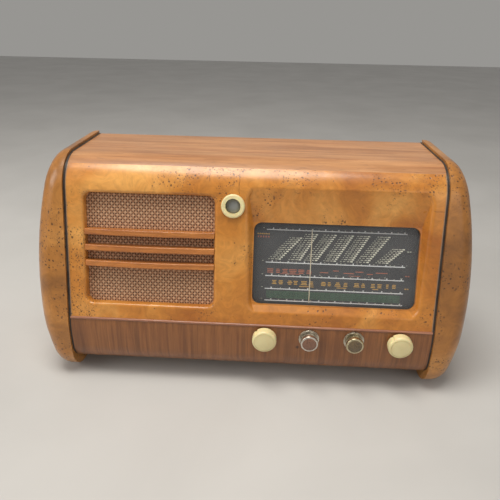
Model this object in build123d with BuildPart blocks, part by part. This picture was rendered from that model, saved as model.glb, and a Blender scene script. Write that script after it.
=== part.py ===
"""Tabletop valve radio in a veneered wooden cabinet. Millimetres, +Z up, the dial faces -Y.

The origin is the centre of the base: X = 0 is the middle of the cabinet, Z = 0 is the table,
and Y = 0 is halfway between the knob faces and the backs of the cheeks.
"""

from build123d import *
import os
from math import acos, atan2, cos, degrees, hypot, pi, radians, sin, tan

os.makedirs("parts", exist_ok=True)

# ---------------------------------------------------------------- driving dimensions
# Cabinet
body_width = 556.0          # top, front and band, between the black bead strips
body_depth = 228.0          # front of the band to the back edge of the top
body_top = 345.0            # height of the top panel
body_bottom = 23.0          # underside of the band and bottom board
shell = 14.0                # wall of top, front and band
front_lean = 13.6           # the front leans back by this angle, in degrees
knee_z = 94.0               # height where the lean starts
nose_r = 56.0               # outer radius between front and top
knee_r = 150.0              # gentle bend between band and front
band_r = 36.0               # the band curls under with this radius
band_top = 110.0            # joint between band and burl front
band_proud = 1.2            # the band stands this far out of the front's line
seam_turn = 35.0            # the walnut-to-burl joint on the nose, degrees from vertical

bead_width = 3.0            # black strip between body and cheek
bead_proud = 0.6
side_board = 12.0
cheek_thickness = 50.5      # at its fullest height
cheek_proud = 4.5           # cheek edge stands out of the body's line
cheek_full_z = 165.0        # height where the cheek is fullest
cheek_bulge_r = 600.0       # upright curve of the cheek's outer face
cheek_round = 26.0          # rounding of the cheek's outer edge
cheek_foot_r = 46.0         # lower front corner of the cheek
cheek_back = 2.0            # cheek reaches past the top's back edge
pad_height = 3.0

# Knobs
knob_reach = 17.0           # knob faces stand this far in front of the band
knob_z = 90.0
first_knob_x = 24.5
knob_pitch = 68.4
large_knob_r = 18.5
small_knob_r = 13.5
shaft_r = 3.0
run_gap = 0.05              # radial clearance of a running shaft

# Grille
grille_left = -252.0
grille_right = -55.5
grille_low = 40.0           # along the leaning front, from the knee
grille_high = 209.5
grille_corner = 11.0
grille_round = 5.0
cloth = 0.8
baffle = 8.0
slat_height = 9.0
slat_bow = 6.0
slat_back = 1.5             # slat ends sit this far inside the front's face
slat_first = 102.0          # lowest slat's centre, along the lean
slat_pitch = 24.3

# Speaker
speaker_x = -151.5
speaker_v = 124.0
speaker_r = 84.0
cone_r = 71.0
cone_depth = 36.0
coil_r = 12.5
magnet_r = 36.0
magnet_depth = 42.0

# Tuning eye
eye_x = -28.4
eye_v = 196.5
eye_ring_r = 17.6
eye_hole_r = 11.2
eye_glass_r = 14.0
eye_length = 62.0

# Dial
dial_left = 3.0
dial_right = 250.0
dial_low_z = 138.0
dial_high_z = 258.0
dial_low_depth = 17.5       # dial face behind the band's front, at its lower edge
scoop_depth = 54.0          # upright wall above the dial, behind the band's front
scoop_top_z = 314.0
scoop_margin = 1.5
scoop_corner = 16.0
scoop_flare = 30.0          # the scoop's sides open towards the viewer, in degrees
scoop_round = 7.0           # rounding of the scoop's rim
dial_corner = 12.0
lip = 4.0
glass = 3.0
pointer_gap = 9.0
plate = 1.0

# Dial drive
drum_x = 165.0
drum_z = 165.0
drum_r = 65.0               # radius of the cord on the drum
pulley_r = 8.0
pulley_z = 262.0
spindle_r = 6.5
cord_d = 1.2
cord_depth = 76.0           # plane of the drive cord behind the band's front
pointer_x = 91.0            # pointer at rest
pointer_first_x = 22.5      # left end of the scales
pointer_last_x = 226.7

# Chassis
chassis_left = -45.0
chassis_right = 262.0
chassis_front = 88.0        # behind the band's front
chassis_back = 204.0
chassis_top = 106.0
sheet_steel = 1.5
cover = 3.0                 # perforated back

# ---------------------------------------------------------------- derived values
overall_depth = knob_reach + body_depth + cheek_back
front_y = knob_reach - overall_depth / 2
back_y = front_y + body_depth
half_body = body_width / 2
cheek_inside = half_body + bead_width
lean = radians(front_lean)
cover_y = back_y - 14.0
board_top = body_bottom + shell
knob_xs = [first_knob_x + i * knob_pitch for i in range(4)]


def profile_corners(grow, foot, back):
    """Corners (y, z) of the side profile moved outwards by grow, from back bottom to back top."""
    knee = knee_z + grow * (1 / cos(lean) - 1) / tan(lean)
    top = body_top + grow
    nose_y = front_y + (top - knee_z) * tan(lean) - grow / cos(lean)
    return [(back, foot), (front_y - grow, foot), (front_y - grow, knee), (nose_y, top), (back, top)]


def draw_profile(grow, foot, back, foot_r):
    """Closed side profile: curled foot, upright band, leaning front, round nose and flat top."""
    corners = profile_corners(grow, foot, back)
    FilletPolyline(*corners, radius=(foot_r, knee_r + grow, nose_r + grow))
    Line(corners[-1], corners[0])


def side_plane(x):
    """Upright plane at x, with its own x along Y and its own y along Z."""
    return Plane.YZ.offset(x)


def front_plane(x, v, out=0.0):
    """Plane on the leaning front: v is measured up the lean from the knee, out is along its normal."""
    y = front_y + v * sin(lean) - out * cos(lean)
    z = knee_z + v * cos(lean) + out * sin(lean)
    return Plane(origin=(x, y, z), x_dir=(1, 0, 0), z_dir=(0, -cos(lean), sin(lean)))


def facing_plane(x, z, depth):
    """Upright plane facing the viewer, at a depth behind the band's front."""
    return Plane(origin=(x, front_y + depth, z), x_dir=(1, 0, 0), z_dir=(0, -1, 0))


def rear_plane(x, z, y):
    """Upright plane facing the back."""
    return Plane(origin=(x, y, z), x_dir=(-1, 0, 0), z_dir=(0, 1, 0))


dial_rise = dial_high_z - dial_low_z
dial_lean = atan2(scoop_depth - dial_low_depth, dial_rise)
dial_height = dial_rise / cos(dial_lean)
dial_width = dial_right - dial_left
dial_x = (dial_left + dial_right) / 2
dial_z = (dial_low_z + dial_high_z) / 2
dial_depth = (scoop_depth + dial_low_depth) / 2


def dial_point(v, out):
    """(y, z) of a point v up the dial from its centre and out towards the viewer."""
    y = front_y + dial_depth + v * sin(dial_lean) - out * cos(dial_lean)
    return (y, dial_z + v * cos(dial_lean) + out * sin(dial_lean))


def dial_plane(x=0.0, v=0.0, out=0.0):
    """Plane parallel to the dial's face, x and v from its centre, out towards the viewer."""
    facing = (0, -cos(dial_lean), sin(dial_lean))
    return Plane(origin=(dial_x + x, *dial_point(v, out)), x_dir=(1, 0, 0), z_dir=facing)


def dial_shelf(v):
    """Plane square to the dial at height v: its x along X, its y away from the viewer."""
    return Plane(origin=(dial_x, *dial_point(v, 0)), x_dir=(1, 0, 0), z_dir=(0, sin(dial_lean), cos(dial_lean)))


# ---------------------------------------------------------------- cabinet shell
nose_z = body_top - nose_r
nose_start = (body_top - knee_z) * tan(lean) + nose_r * tan((pi / 2 - lean) / 2)
nose_centre = (front_y + nose_start, nose_z)
seam = radians(seam_turn)
seam_end = (nose_centre[0] - 2 * nose_r * sin(seam), nose_centre[1] + 2 * nose_r * cos(seam))

with BuildPart() as top_panel:
    with BuildSketch(side_plane(-half_body)):
        with BuildLine():
            draw_profile(0, body_bottom, back_y, band_r)
        make_face()
        with BuildLine():
            draw_profile(-shell, body_bottom + shell, back_y + shell, band_r - shell)
        make_face(mode=Mode.SUBTRACT)
        with BuildLine():
            Polyline(nose_centre, seam_end, (back_y, seam_end[1]), (back_y, nose_centre[1]), close=True)
        make_face(mode=Mode.INTERSECT)
    extrude(amount=body_width)
top_panel.part.label = "top_panel"
export_step(top_panel.part, "parts/top_panel.step")

# The burl front carries a thick block behind the dial, which the scoop and the dial opening cut.
block = 12.0
block_side = 18.0
block_high = dial_height / 2 + 12
block_low = -dial_height / 2 - 8
block_corners = [
    (front_y + scoop_depth + 2, scoop_top_z - 22),
    (dial_point(block_high, -block)[0], scoop_top_z - 22),
    dial_point(block_high, -block),
    dial_point(block_low, -block),
    dial_point(block_low, 2),
    (front_y + scoop_depth + 2, dial_high_z + 4),
]
sill = 13.0
scoop_corners = [
    (front_y - 40, scoop_top_z + 50),
    (front_y + scoop_depth, scoop_top_z + 50),
    (front_y + scoop_depth, dial_high_z),
    (front_y + dial_low_depth, dial_low_z - 1),
    (front_y + dial_low_depth - sill, dial_low_z - 1 - sill),
    (front_y - 40, dial_low_z - 1 - sill),
]
scoop_low = -dial_height / 2 - 10
scoop_high = dial_height / 2 + 46
scoop_width = dial_width + 2 * scoop_margin
with BuildPart() as scoop:
    with BuildSketch(dial_plane(v=(scoop_low + scoop_high) / 2)):
        RectangleRounded(scoop_width, scoop_high - scoop_low, scoop_corner)
    extrude(amount=50, taper=-scoop_flare)
    with BuildSketch(side_plane(-half_body)):
        with BuildLine():
            Polyline(*scoop_corners, close=True)
        make_face()
    extrude(amount=body_width, mode=Mode.INTERSECT)


def on_front(edge):
    """True for an edge in the outer face of the leaning front or its nose."""
    point = edge @ 0.5
    off_nose = hypot(point.Y - nose_centre[0], point.Z - nose_centre[1]) - nose_r
    return abs(front_plane(0, 0).to_local_coords(point).Z) < 0.01 or abs(off_nose) < 0.01


grille_x = (grille_left + grille_right) / 2
grille_v = (grille_low + grille_high) / 2
grille_width = grille_right - grille_left
grille_height = grille_high - grille_low
seat_side = 12.0            # the cloth and baffle reach past the grille opening by this much
rebate_side = 9.0
rebate_high = 6.0
behind_panel = 60.0         # a cut this deep clears the panel and its block

with BuildPart() as front_panel:
    with BuildSketch(side_plane(-half_body)):
        with BuildLine():
            draw_profile(0, body_bottom, back_y, band_r)
        make_face()
        with BuildLine():
            draw_profile(-shell, body_bottom + shell, back_y + shell, band_r - shell)
        make_face(mode=Mode.SUBTRACT)
        with BuildLine():
            Polyline((front_y - nose_r, band_top), (front_y - nose_r, seam_end[1]), seam_end,
                     nose_centre, (nose_centre[0], band_top), close=True)
        make_face(mode=Mode.INTERSECT)
    extrude(amount=body_width)
    with BuildSketch(side_plane(dial_left - block_side)):
        with BuildLine():
            Polyline(*block_corners, close=True)
        make_face()
    extrude(amount=dial_width + 2 * block_side)
    add(scoop.part, mode=Mode.SUBTRACT)
    scoop_mouth = [e for e in front_panel.edges()
                   if dial_left - block_side < e.center().X < dial_right + block_side
                   and band_top + 2 < e.center().Z < scoop_top_z and on_front(e)]
    fillet(scoop_mouth, radius=scoop_round)
    with BuildSketch(dial_plane()):
        RectangleRounded(dial_width, dial_height, dial_corner)
    extrude(amount=-behind_panel, mode=Mode.SUBTRACT)
    with BuildSketch(dial_plane(out=-lip)):
        Rectangle(dial_width + 2 * rebate_side, dial_height + 2 * rebate_high)
    extrude(amount=-behind_panel, mode=Mode.SUBTRACT)
    with BuildSketch(front_plane(grille_x, grille_v, 20)):
        RectangleRounded(grille_width, grille_height, grille_corner)
    extrude(amount=-behind_panel, mode=Mode.SUBTRACT)
    with BuildSketch(front_plane(grille_x, grille_v, -shell)):
        Rectangle(grille_width + 2 * seat_side, grille_height + 2 * seat_side)
    extrude(amount=-behind_panel, mode=Mode.SUBTRACT)
    with BuildSketch(front_plane(eye_x, eye_v, 20)):
        Circle(eye_ring_r - 3.5)
    extrude(amount=-behind_panel, mode=Mode.SUBTRACT)
    grille_mouth = [e for e in front_panel.edges()
                    if grille_left - 1 < e.center().X < grille_right + 1
                    and band_top + 2 < e.center().Z < nose_z and on_front(e)]
    fillet(grille_mouth, radius=grille_round)
front_panel.part.label = "front_panel"
export_step(front_panel.part, "parts/front_panel.step")

bead_height = 4.0
bead_round = 2.6
band_under = band_r + 8.0   # the band's lower lip reaches this far under the body
shaft_hole_r = shaft_r + 1.5
ring_r = small_knob_r + 2.2
ring_seat = 1.6             # flat seats for the two metal rings, behind the band's front

with BuildPart() as lower_band:
    with BuildSketch(side_plane(-half_body)):
        with BuildLine():
            draw_profile(band_proud, body_bottom, back_y, band_r)
        make_face()
        with BuildLine():
            draw_profile(-shell, body_bottom + shell, back_y + shell, band_r - shell)
        make_face(mode=Mode.SUBTRACT)
        with BuildLine():
            Polyline((front_y - 20, 0), (front_y - 20, band_top - bead_height),
                     (front_y + band_under, band_top - bead_height), (front_y + band_under, 0), close=True)
        make_face(mode=Mode.INTERSECT)
    extrude(amount=body_width)
    for x in knob_xs:
        with BuildSketch(facing_plane(x, knob_z, -20)):
            Circle(shaft_hole_r)
        extrude(amount=-behind_panel, mode=Mode.SUBTRACT)
    for x in knob_xs[1:3]:
        with BuildSketch(facing_plane(x, knob_z, ring_seat)):
            Circle(ring_r + 0.1)
        extrude(amount=20, mode=Mode.SUBTRACT)
lower_band.part.label = "lower_band"
export_step(lower_band.part, "parts/lower_band.step")

with BuildPart() as band_bead:
    with BuildSketch(side_plane(-half_body)):
        with BuildLine():
            draw_profile(bead_round, body_bottom, back_y, band_r)
        make_face()
        with BuildLine():
            draw_profile(-shell, body_bottom + shell, back_y + shell, band_r - shell)
        make_face(mode=Mode.SUBTRACT)
        with Locations((front_y, band_top - bead_height / 2)):
            Rectangle(4 * shell, bead_height, mode=Mode.INTERSECT)
        fillet(vertices().group_by(Axis.X)[0] + vertices().group_by(Axis.X)[1], radius=bead_height * 0.45)
    extrude(amount=body_width)
band_bead.part.label = "band_bead"
export_step(band_bead.part, "parts/band_bead.step")

# ---------------------------------------------------------------- cheeks, bead strips, boards
with BuildPart() as right_cheek:
    with BuildSketch(side_plane(cheek_inside)):
        with BuildLine():
            draw_profile(cheek_proud, pad_height, back_y + cheek_back, cheek_foot_r)
        make_face()
    extrude(amount=cheek_thickness)
    with BuildSketch(Plane.XZ.offset(-overall_depth)):
        with Locations((cheek_inside + cheek_thickness - cheek_bulge_r, cheek_full_z)):
            Circle(cheek_bulge_r)
    extrude(amount=2 * overall_depth, mode=Mode.INTERSECT)
    outer_face = right_cheek.faces().sort_by(Axis.X)[-1]
    fillet([e for e in outer_face.edges() if e.center().Y < back_y], radius=cheek_round)
with BuildPart() as left_cheek:
    mirror(right_cheek.part, about=Plane.YZ)
right_cheek.part.label = "right_cheek"
export_step(right_cheek.part, "parts/right_cheek.step")
left_cheek.part.label = "left_cheek"
export_step(left_cheek.part, "parts/left_cheek.step")

with BuildPart() as bead_strips:
    for x in (-cheek_inside, half_body):
        with BuildSketch(side_plane(x)):
            with BuildLine():
                draw_profile(bead_proud, body_bottom - bead_proud, back_y, band_r)
            make_face()
            with BuildLine():
                draw_profile(-shell, body_bottom + shell, back_y + shell, band_r - shell)
            make_face(mode=Mode.SUBTRACT)
        extrude(amount=bead_width)
bead_strips.part.label = "bead_strips"
export_step(bead_strips.part, "parts/bead_strips.step")

screw_r = 1.6
cover_screw_x = cheek_inside - side_board / 2 - 3
side_screw_zs = (62.0, 190.0, 318.0)
floor_screw_xs = (-130.0, 0.0, 130.0)
floor_screw_z = body_bottom + shell / 2
screw_grip = 12.0

with BuildPart() as side_boards:
    for x in (-cheek_inside, cheek_inside - side_board):
        with BuildSketch(side_plane(x)):
            with BuildLine():
                draw_profile(-shell, board_top, cover_y, band_r - shell)
            make_face()
        extrude(amount=side_board)
    for x in (-cover_screw_x, cover_screw_x):
        for z in side_screw_zs:
            with BuildSketch(rear_plane(x, z, cover_y)):
                Circle(screw_r)
            extrude(amount=-screw_grip, mode=Mode.SUBTRACT)
side_boards.part.label = "side_boards"
export_step(side_boards.part, "parts/side_boards.step")

chassis_x = (chassis_left + chassis_right) / 2
chassis_width = chassis_right - chassis_left
chassis_y = front_y + (chassis_front + chassis_back) / 2
chassis_depth = chassis_back - chassis_front
bolt_inset = 12.0
bolt_r = 2.0
bolt_places = [(x, front_y + depth) for x in (chassis_left + bolt_inset, chassis_right - bolt_inset)
               for depth in (chassis_front + bolt_inset, chassis_back - bolt_inset)]

with BuildPart() as bottom_board:
    with BuildSketch(Plane.XY.offset(body_bottom)):
        board_front = front_y + band_under
        with Locations((0, (board_front + cover_y) / 2)):
            Rectangle(body_width, cover_y - board_front)
        with Locations(*bolt_places):
            Circle(bolt_r + 0.2, mode=Mode.SUBTRACT)
    extrude(amount=shell)
    for x in floor_screw_xs:
        with BuildSketch(rear_plane(x, floor_screw_z, cover_y)):
            Circle(screw_r)
        extrude(amount=-screw_grip, mode=Mode.SUBTRACT)
bottom_board.part.label = "bottom_board"
export_step(bottom_board.part, "parts/bottom_board.step")

pad_width = 7.0
pad_length = 36.0
pad_ys = (front_y + cheek_foot_r + 20, back_y - 30)
with BuildPart() as foot_pads:
    with BuildSketch(Plane.XY):
        for x in (-cheek_inside - 5, cheek_inside + 5):
            for y in pad_ys:
                with Locations((x, y)):
                    RectangleRounded(pad_width, pad_length, 3)
    extrude(amount=pad_height)
foot_pads.part.label = "foot_pads"
export_step(foot_pads.part, "parts/foot_pads.step")

# ---------------------------------------------------------------- grille
slat_vs = [slat_first + i * slat_pitch for i in range(3)]
for name, v in zip(("lower_slat", "middle_slat", "upper_slat"), slat_vs):
    base = front_plane(grille_x, v - slat_height / 2)
    with BuildPart() as slat:
        with BuildSketch(Plane(origin=base.origin, x_dir=(1, 0, 0), z_dir=(0, sin(lean), cos(lean)))):
            with BuildLine():
                half = grille_width / 2
                ThreePointArc((-half, slat_back), (0, slat_back - slat_bow), (half, slat_back))
                Polyline((half, slat_back), (half, shell), (-half, shell), (-half, slat_back))
            make_face()
        extrude(amount=slat_height)
        bowed = slat.edges().filter_by(GeomType.CIRCLE)
        fillet(bowed, radius=1.4)
    slat.part.label = name
    export_step(slat.part, f"parts/{name}.step")

with BuildPart() as grille_cloth:
    with BuildSketch(front_plane(grille_x, grille_v, -shell)):
        Rectangle(grille_width + 2 * seat_side - 2, grille_height + 2 * seat_side - 2)
    extrude(amount=-cloth)
grille_cloth.part.label = "grille_cloth"
export_step(grille_cloth.part, "parts/grille_cloth.step")

baffle_out = -shell - cloth
speaker_bolt_r = cone_r + 8
speaker_bolts = PolarLocations(speaker_bolt_r, 4, start_angle=45)
with BuildPart() as baffle_board:
    with BuildSketch(front_plane(grille_x, grille_v, baffle_out)):
        Rectangle(grille_width + 2 * seat_side - 2, grille_height + 2 * seat_side - 2)
    extrude(amount=-baffle)
    with BuildSketch(front_plane(speaker_x, speaker_v, baffle_out)):
        Circle(cone_r + 1)
        with speaker_bolts:
            Circle(bolt_r + 0.2)
    extrude(amount=-baffle, mode=Mode.SUBTRACT)
baffle_board.part.label = "baffle_board"
export_step(baffle_board.part, "parts/baffle_board.step")

# ---------------------------------------------------------------- loudspeaker
speaker_out = baffle_out - baffle
speaker_base = front_plane(speaker_x, speaker_v, speaker_out)
speaker_axis = Axis(speaker_base.origin, speaker_base.z_dir)
# In this half section x is the radius and y points out of the front.
speaker_section = Plane(origin=speaker_base.origin, x_dir=(0, sin(lean), cos(lean)), z_dir=(1, 0, 0))
tin = 1.5
basket_depth = cone_depth + 8.0
gap_floor = 14.0

with BuildPart() as speaker_basket:
    with BuildSketch(speaker_section):
        with BuildLine():
            Polyline((cone_r + 2, 0), (speaker_r, 0), (speaker_r, -tin), (cone_r + 4, -tin),
                     (magnet_r + 1, -basket_depth - tin), (coil_r + 5, -basket_depth - tin),
                     (coil_r + 5, -basket_depth), (magnet_r, -basket_depth), (cone_r + 2, -tin), close=True)
        make_face()
    revolve(axis=speaker_axis)
    with BuildSketch(front_plane(speaker_x, speaker_v, speaker_out - tin - 3)):
        with PolarLocations((cone_r + magnet_r) / 2, 6):
            SlotOverall(26, 20)
        with speaker_bolts:
            Circle(bolt_r + 0.2)
    extrude(amount=-basket_depth, mode=Mode.SUBTRACT)
    with BuildSketch(speaker_base):
        with speaker_bolts:
            Circle(bolt_r + 0.2)
    extrude(amount=-tin, mode=Mode.SUBTRACT)
speaker_basket.part.label = "speaker_basket"
export_step(speaker_basket.part, "parts/speaker_basket.step")

paper = 0.9
coil_wall = 0.6
coil_bottom = basket_depth + tin + gap_floor - 4
with BuildPart() as speaker_cone:
    with BuildSketch(speaker_section):
        with BuildLine():
            Polyline((0, -cone_depth + 4), (coil_r, -cone_depth), (cone_r, -1), (cone_r, -1 - paper),
                     (coil_r + coil_wall, -cone_depth - 1.4), (coil_r + coil_wall, -coil_bottom),
                     (coil_r, -coil_bottom), (coil_r, -cone_depth - 1), (0, -cone_depth + 3), close=True)
        make_face()
    revolve(axis=speaker_axis)
speaker_cone.part.label = "speaker_cone"
export_step(speaker_cone.part, "parts/speaker_cone.step")

magnet_out = -basket_depth - tin
with BuildPart() as speaker_magnet:
    with BuildSketch(speaker_section):
        with BuildLine():
            Polyline((0, magnet_out - 0.5), (coil_r - 0.9, magnet_out - 0.5),
                     (coil_r - 0.9, magnet_out - gap_floor), (coil_r + 1.6, magnet_out - gap_floor),
                     (coil_r + 1.6, magnet_out), (magnet_r, magnet_out),
                     (magnet_r, magnet_out - magnet_depth), (0, magnet_out - magnet_depth), close=True)
        make_face()
    revolve(axis=speaker_axis)
    fillet(speaker_magnet.edges().sort_by(Axis.Y)[-1], radius=3)
speaker_magnet.part.label = "speaker_magnet"
export_step(speaker_magnet.part, "parts/speaker_magnet.step")

with BuildPart() as speaker_nuts:
    with BuildSketch(front_plane(speaker_x, speaker_v, baffle_out)):
        with speaker_bolts:
            Circle(bolt_r)
    extrude(amount=-baffle - tin - 6)
    with BuildSketch(front_plane(speaker_x, speaker_v, speaker_out - tin)):
        with speaker_bolts:
            RegularPolygon(4, 6)
    extrude(amount=-3)
speaker_nuts.part.label = "speaker_nuts"
export_step(speaker_nuts.part, "parts/speaker_nuts.step")

# ---------------------------------------------------------------- tuning eye
eye_sleeve_r = eye_ring_r - 3.6
with BuildPart() as eye_bezel:
    with BuildSketch(front_plane(eye_x, eye_v)):
        Circle(eye_ring_r)
    extrude(amount=4.6)
    fillet(eye_bezel.faces().sort_by(Axis.Y)[0].edges(), radius=2.4)
    with BuildSketch(front_plane(eye_x, eye_v)):
        Circle(eye_sleeve_r)
    extrude(amount=-shell + 1)
    with BuildSketch(front_plane(eye_x, eye_v, 10)):
        Circle(eye_hole_r)
    extrude(amount=-40, mode=Mode.SUBTRACT)
eye_bezel.part.label = "eye_bezel"
export_step(eye_bezel.part, "parts/eye_bezel.step")

eye_section = Plane(origin=front_plane(eye_x, eye_v).origin, x_dir=(0, sin(lean), cos(lean)), z_dir=(1, 0, 0))
eye_axis = Axis(eye_section.origin, (0, -cos(lean), sin(lean)))
eye_shoulder = -shell - 4.0
eye_base_length = 16.0
with BuildPart() as eye_tube:
    with BuildSketch(eye_section):
        with BuildLine():
            TangentArc((0, -0.6), (eye_hole_r - 0.7, -3.2), tangent=(1, 0))
            Polyline((eye_hole_r - 0.7, -3.2), (eye_hole_r - 0.7, eye_shoulder + 3), (eye_glass_r, eye_shoulder),
                     (eye_glass_r, eye_shoulder - eye_length), (eye_glass_r + 1.8, eye_shoulder - eye_length),
                     (eye_glass_r + 1.8, eye_shoulder - eye_length - eye_base_length),
                     (0, eye_shoulder - eye_length - eye_base_length), (0, -0.6))
        make_face()
    revolve(axis=eye_axis)
eye_tube.part.label = "eye_tube"
export_step(eye_tube.part, "parts/eye_tube.step")

clamp_out = eye_shoulder - 30.0
clamp_width = 10.0
with BuildPart() as eye_clamp:
    with BuildSketch(front_plane(eye_x, eye_v, clamp_out)):
        Circle(eye_glass_r + 1.2)
        Circle(eye_glass_r, mode=Mode.SUBTRACT)
    extrude(amount=-clamp_width)
    with BuildSketch(front_plane(eye_x, eye_v - eye_glass_r - 1.4, -shell)):
        Rectangle(clamp_width, tin)
    extrude(amount=clamp_out - clamp_width + shell)
    with BuildSketch(front_plane(eye_x, eye_v - eye_glass_r - 7, -shell)):
        Rectangle(clamp_width, 12)
    extrude(amount=-tin)
eye_clamp.part.label = "eye_clamp"
export_step(eye_clamp.part, "parts/eye_clamp.step")

# ---------------------------------------------------------------- dial
glass_back = -lip - glass
plate_front = glass_back - pointer_gap
plate_back = plate_front - plate
plate_height = dial_height - 6
plate_v = -3.0
plate_top = plate_v + plate_height / 2
with BuildPart() as dial_glass:
    with BuildSketch(dial_plane(out=-lip)):
        RectangleRounded(dial_width + 2 * rebate_side - 4, dial_height + 2 * rebate_high - 2, 2)
    extrude(amount=-glass)
dial_glass.part.label = "dial_glass"
export_step(dial_glass.part, "parts/dial_glass.step")

rebate_x = dial_width / 2 + rebate_side
clip_inward = [(rebate_x + 6, block), (rebate_x + 6, block + 1), (rebate_x - 1.5, block + 1),
               (rebate_x - 1.5, -glass_back + 1), (rebate_x - 8, -glass_back + 1),
               (rebate_x - 8, -glass_back), (rebate_x - 0.5, -glass_back), (rebate_x - 0.5, block)]
with BuildPart() as dial_clips:
    for v in (-0.3 * dial_height, 0.3 * dial_height):
        with BuildSketch(dial_shelf(v)):
            for hand in (-1, 1):
                with BuildLine():
                    Polyline(*[(hand * x, y) for x, y in clip_inward], close=True)
                make_face()
        extrude(amount=6, both=True)
dial_clips.part.label = "dial_clips"
export_step(dial_clips.part, "parts/dial_clips.step")

with BuildPart() as dial_backplate:
    with BuildSketch(dial_plane(v=plate_v, out=plate_front)):
        Rectangle(dial_width + 4, plate_height)
    extrude(amount=-plate)
dial_backplate.part.label = "dial_backplate"
export_step(dial_backplate.part, "parts/dial_backplate.step")

# Two upright sheet brackets carry the back plate, the pointer's rail and the cord pulleys.
upright_x = dial_width / 2 + rebate_side + 2
upright = 2.0
upright_out = -block - 3.0
rail_v = plate_top + 10.5
rail_out = plate_back - 19.0
rail_r = 2.0
pulley_xs = (dial_left + 6, dial_right - 5)
pulley_width = 5.0
pin_r = 1.5
upright_corners = [
    dial_point(plate_v - plate_height / 2 + 6, upright_out),
    dial_point(rail_v + 7, upright_out),
    dial_point(rail_v + 7, rail_out - 8),
    (front_y + chassis_front + 22, chassis_top + 24),
    (front_y + chassis_front + 22, chassis_top),
    (front_y + chassis_front + 2, chassis_top),
]
bracket_depth = cord_depth + pulley_width / 2 + 0.5
rail_y = dial_point(rail_v, rail_out)[0]
with BuildPart() as dial_frame:
    for hand in (-1, 1):
        outer_x = dial_x + hand * (upright_x + upright)
        with BuildSketch(side_plane(min(outer_x, outer_x - hand * upright))):
            with BuildLine():
                Polyline(*upright_corners, close=True)
            make_face()
        extrude(amount=upright)
        with BuildSketch(dial_plane(x=hand * (upright_x - 4), v=plate_v, out=plate_back)):
            Rectangle(upright_x + upright - dial_width / 2 + 3, plate_height - 16)
        extrude(amount=-tin)
    for x, inner in zip(pulley_xs, (2.5, -2.5)):
        outer_x = dial_x + (upright_x + 1) * (1 if x > dial_x else -1)
        with BuildSketch(facing_plane((outer_x + x + inner) / 2, pulley_z, bracket_depth)):
            Rectangle(abs(x + inner - outer_x), 12)
        extrude(amount=-tin)
        with BuildSketch(facing_plane(x, pulley_z, bracket_depth)):
            Circle(pin_r)
        extrude(amount=pulley_width + 1.5)
    with BuildSketch(side_plane(dial_x - upright_x - upright)):
        with Locations(dial_point(rail_v, rail_out)):
            Circle(rail_r + 0.05)
    extrude(amount=2 * (upright_x + upright), mode=Mode.SUBTRACT)
dial_frame.part.label = "dial_frame"
export_step(dial_frame.part, "parts/dial_frame.step")

with BuildPart() as pointer_rail:
    with BuildSketch(side_plane(dial_x - upright_x - upright - 3)):
        with Locations(dial_point(rail_v, rail_out)):
            Circle(rail_r)
    extrude(amount=2 * (upright_x + upright + 3))
pointer_rail.part.label = "pointer_rail"
export_step(pointer_rail.part, "parts/pointer_rail.step")

needle = 1.3
needle_out = glass_back - pointer_gap / 2
arm_v = plate_top + 4.5
carriage_width = 14.0
tab_depth = cord_depth + cord_d / 2 + 0.5
with BuildPart() as pointer:
    needle_low = -dial_height / 2 + 2
    with BuildSketch(dial_plane(x=pointer_x - dial_x, v=(needle_low + arm_v) / 2, out=needle_out)):
        Rectangle(needle, arm_v - needle_low)
    extrude(amount=-0.8)
    with BuildSketch(dial_plane(x=pointer_x - dial_x, v=arm_v, out=needle_out)):
        Rectangle(needle * 2, 1.6)
    extrude(amount=rail_out - needle_out)
    with BuildSketch(dial_plane(x=pointer_x - dial_x, v=rail_v, out=rail_out + 6)):
        Rectangle(carriage_width, 14)
    extrude(amount=-12)
    with BuildSketch(facing_plane(pointer_x, pulley_z + pulley_r - 6, tab_depth)):
        Rectangle(6, 18)
    extrude(amount=tab_depth - (rail_y - front_y) + 1)
    with BuildSketch(side_plane(pointer_x - carriage_width)):
        with Locations(dial_point(rail_v, rail_out)):
            Circle(rail_r + run_gap)
    extrude(amount=2 * carriage_width, mode=Mode.SUBTRACT)
pointer.part.label = "pointer"
export_step(pointer.part, "parts/pointer.step")

lamp_xs = (dial_x - 70, dial_x + 20)
lamp_v = -dial_height / 2 + 12
with BuildPart() as dial_lamps:
    for x in lamp_xs:
        with BuildSketch(dial_plane(x=x - dial_x, v=lamp_v, out=plate_back)):
            Circle(6)
        extrude(amount=-4)
        with BuildSketch(dial_plane(x=x - dial_x, v=lamp_v, out=plate_back - 4)):
            Circle(5)
        extrude(amount=-9, taper=12)
dial_lamps.part.label = "dial_lamps"
export_step(dial_lamps.part, "parts/dial_lamps.step")

# ---------------------------------------------------------------- dial drive
spindle_x = knob_xs[3]
# Wheels inside the cord's loop, in the order the cord meets them.
cord_wheels = [(pulley_xs[0], pulley_z, pulley_r), (drum_x, drum_z, drum_r),
               (spindle_x, knob_z, spindle_r), (pulley_xs[1], pulley_z, pulley_r)]
groove_room = cord_d / 2 + 0.3


def grooved_wheel(x, z, cord_line, bore, width, rim):
    """Wheel turning about Y with a square groove that leaves the cord free, bored through."""
    with BuildPart() as wheel:
        with BuildSketch(facing_plane(x, z, cord_depth - width / 2)):
            Circle(cord_line + rim)
            Circle(bore, mode=Mode.SUBTRACT)
        extrude(amount=-width)
        with BuildSketch(facing_plane(x, z, cord_depth - cord_d)):
            Circle(cord_line + rim + 1)
            Circle(cord_line - groove_room, mode=Mode.SUBTRACT)
        extrude(amount=-2 * cord_d, mode=Mode.SUBTRACT)
    return wheel.part


for name, x in zip(("left_pulley", "right_pulley"), pulley_xs):
    with BuildPart() as pulley:
        add(grooved_wheel(x, pulley_z, pulley_r, pin_r + run_gap, pulley_width, 1.6))
    pulley.part.label = name
    export_step(pulley.part, f"parts/{name}.step")

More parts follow.
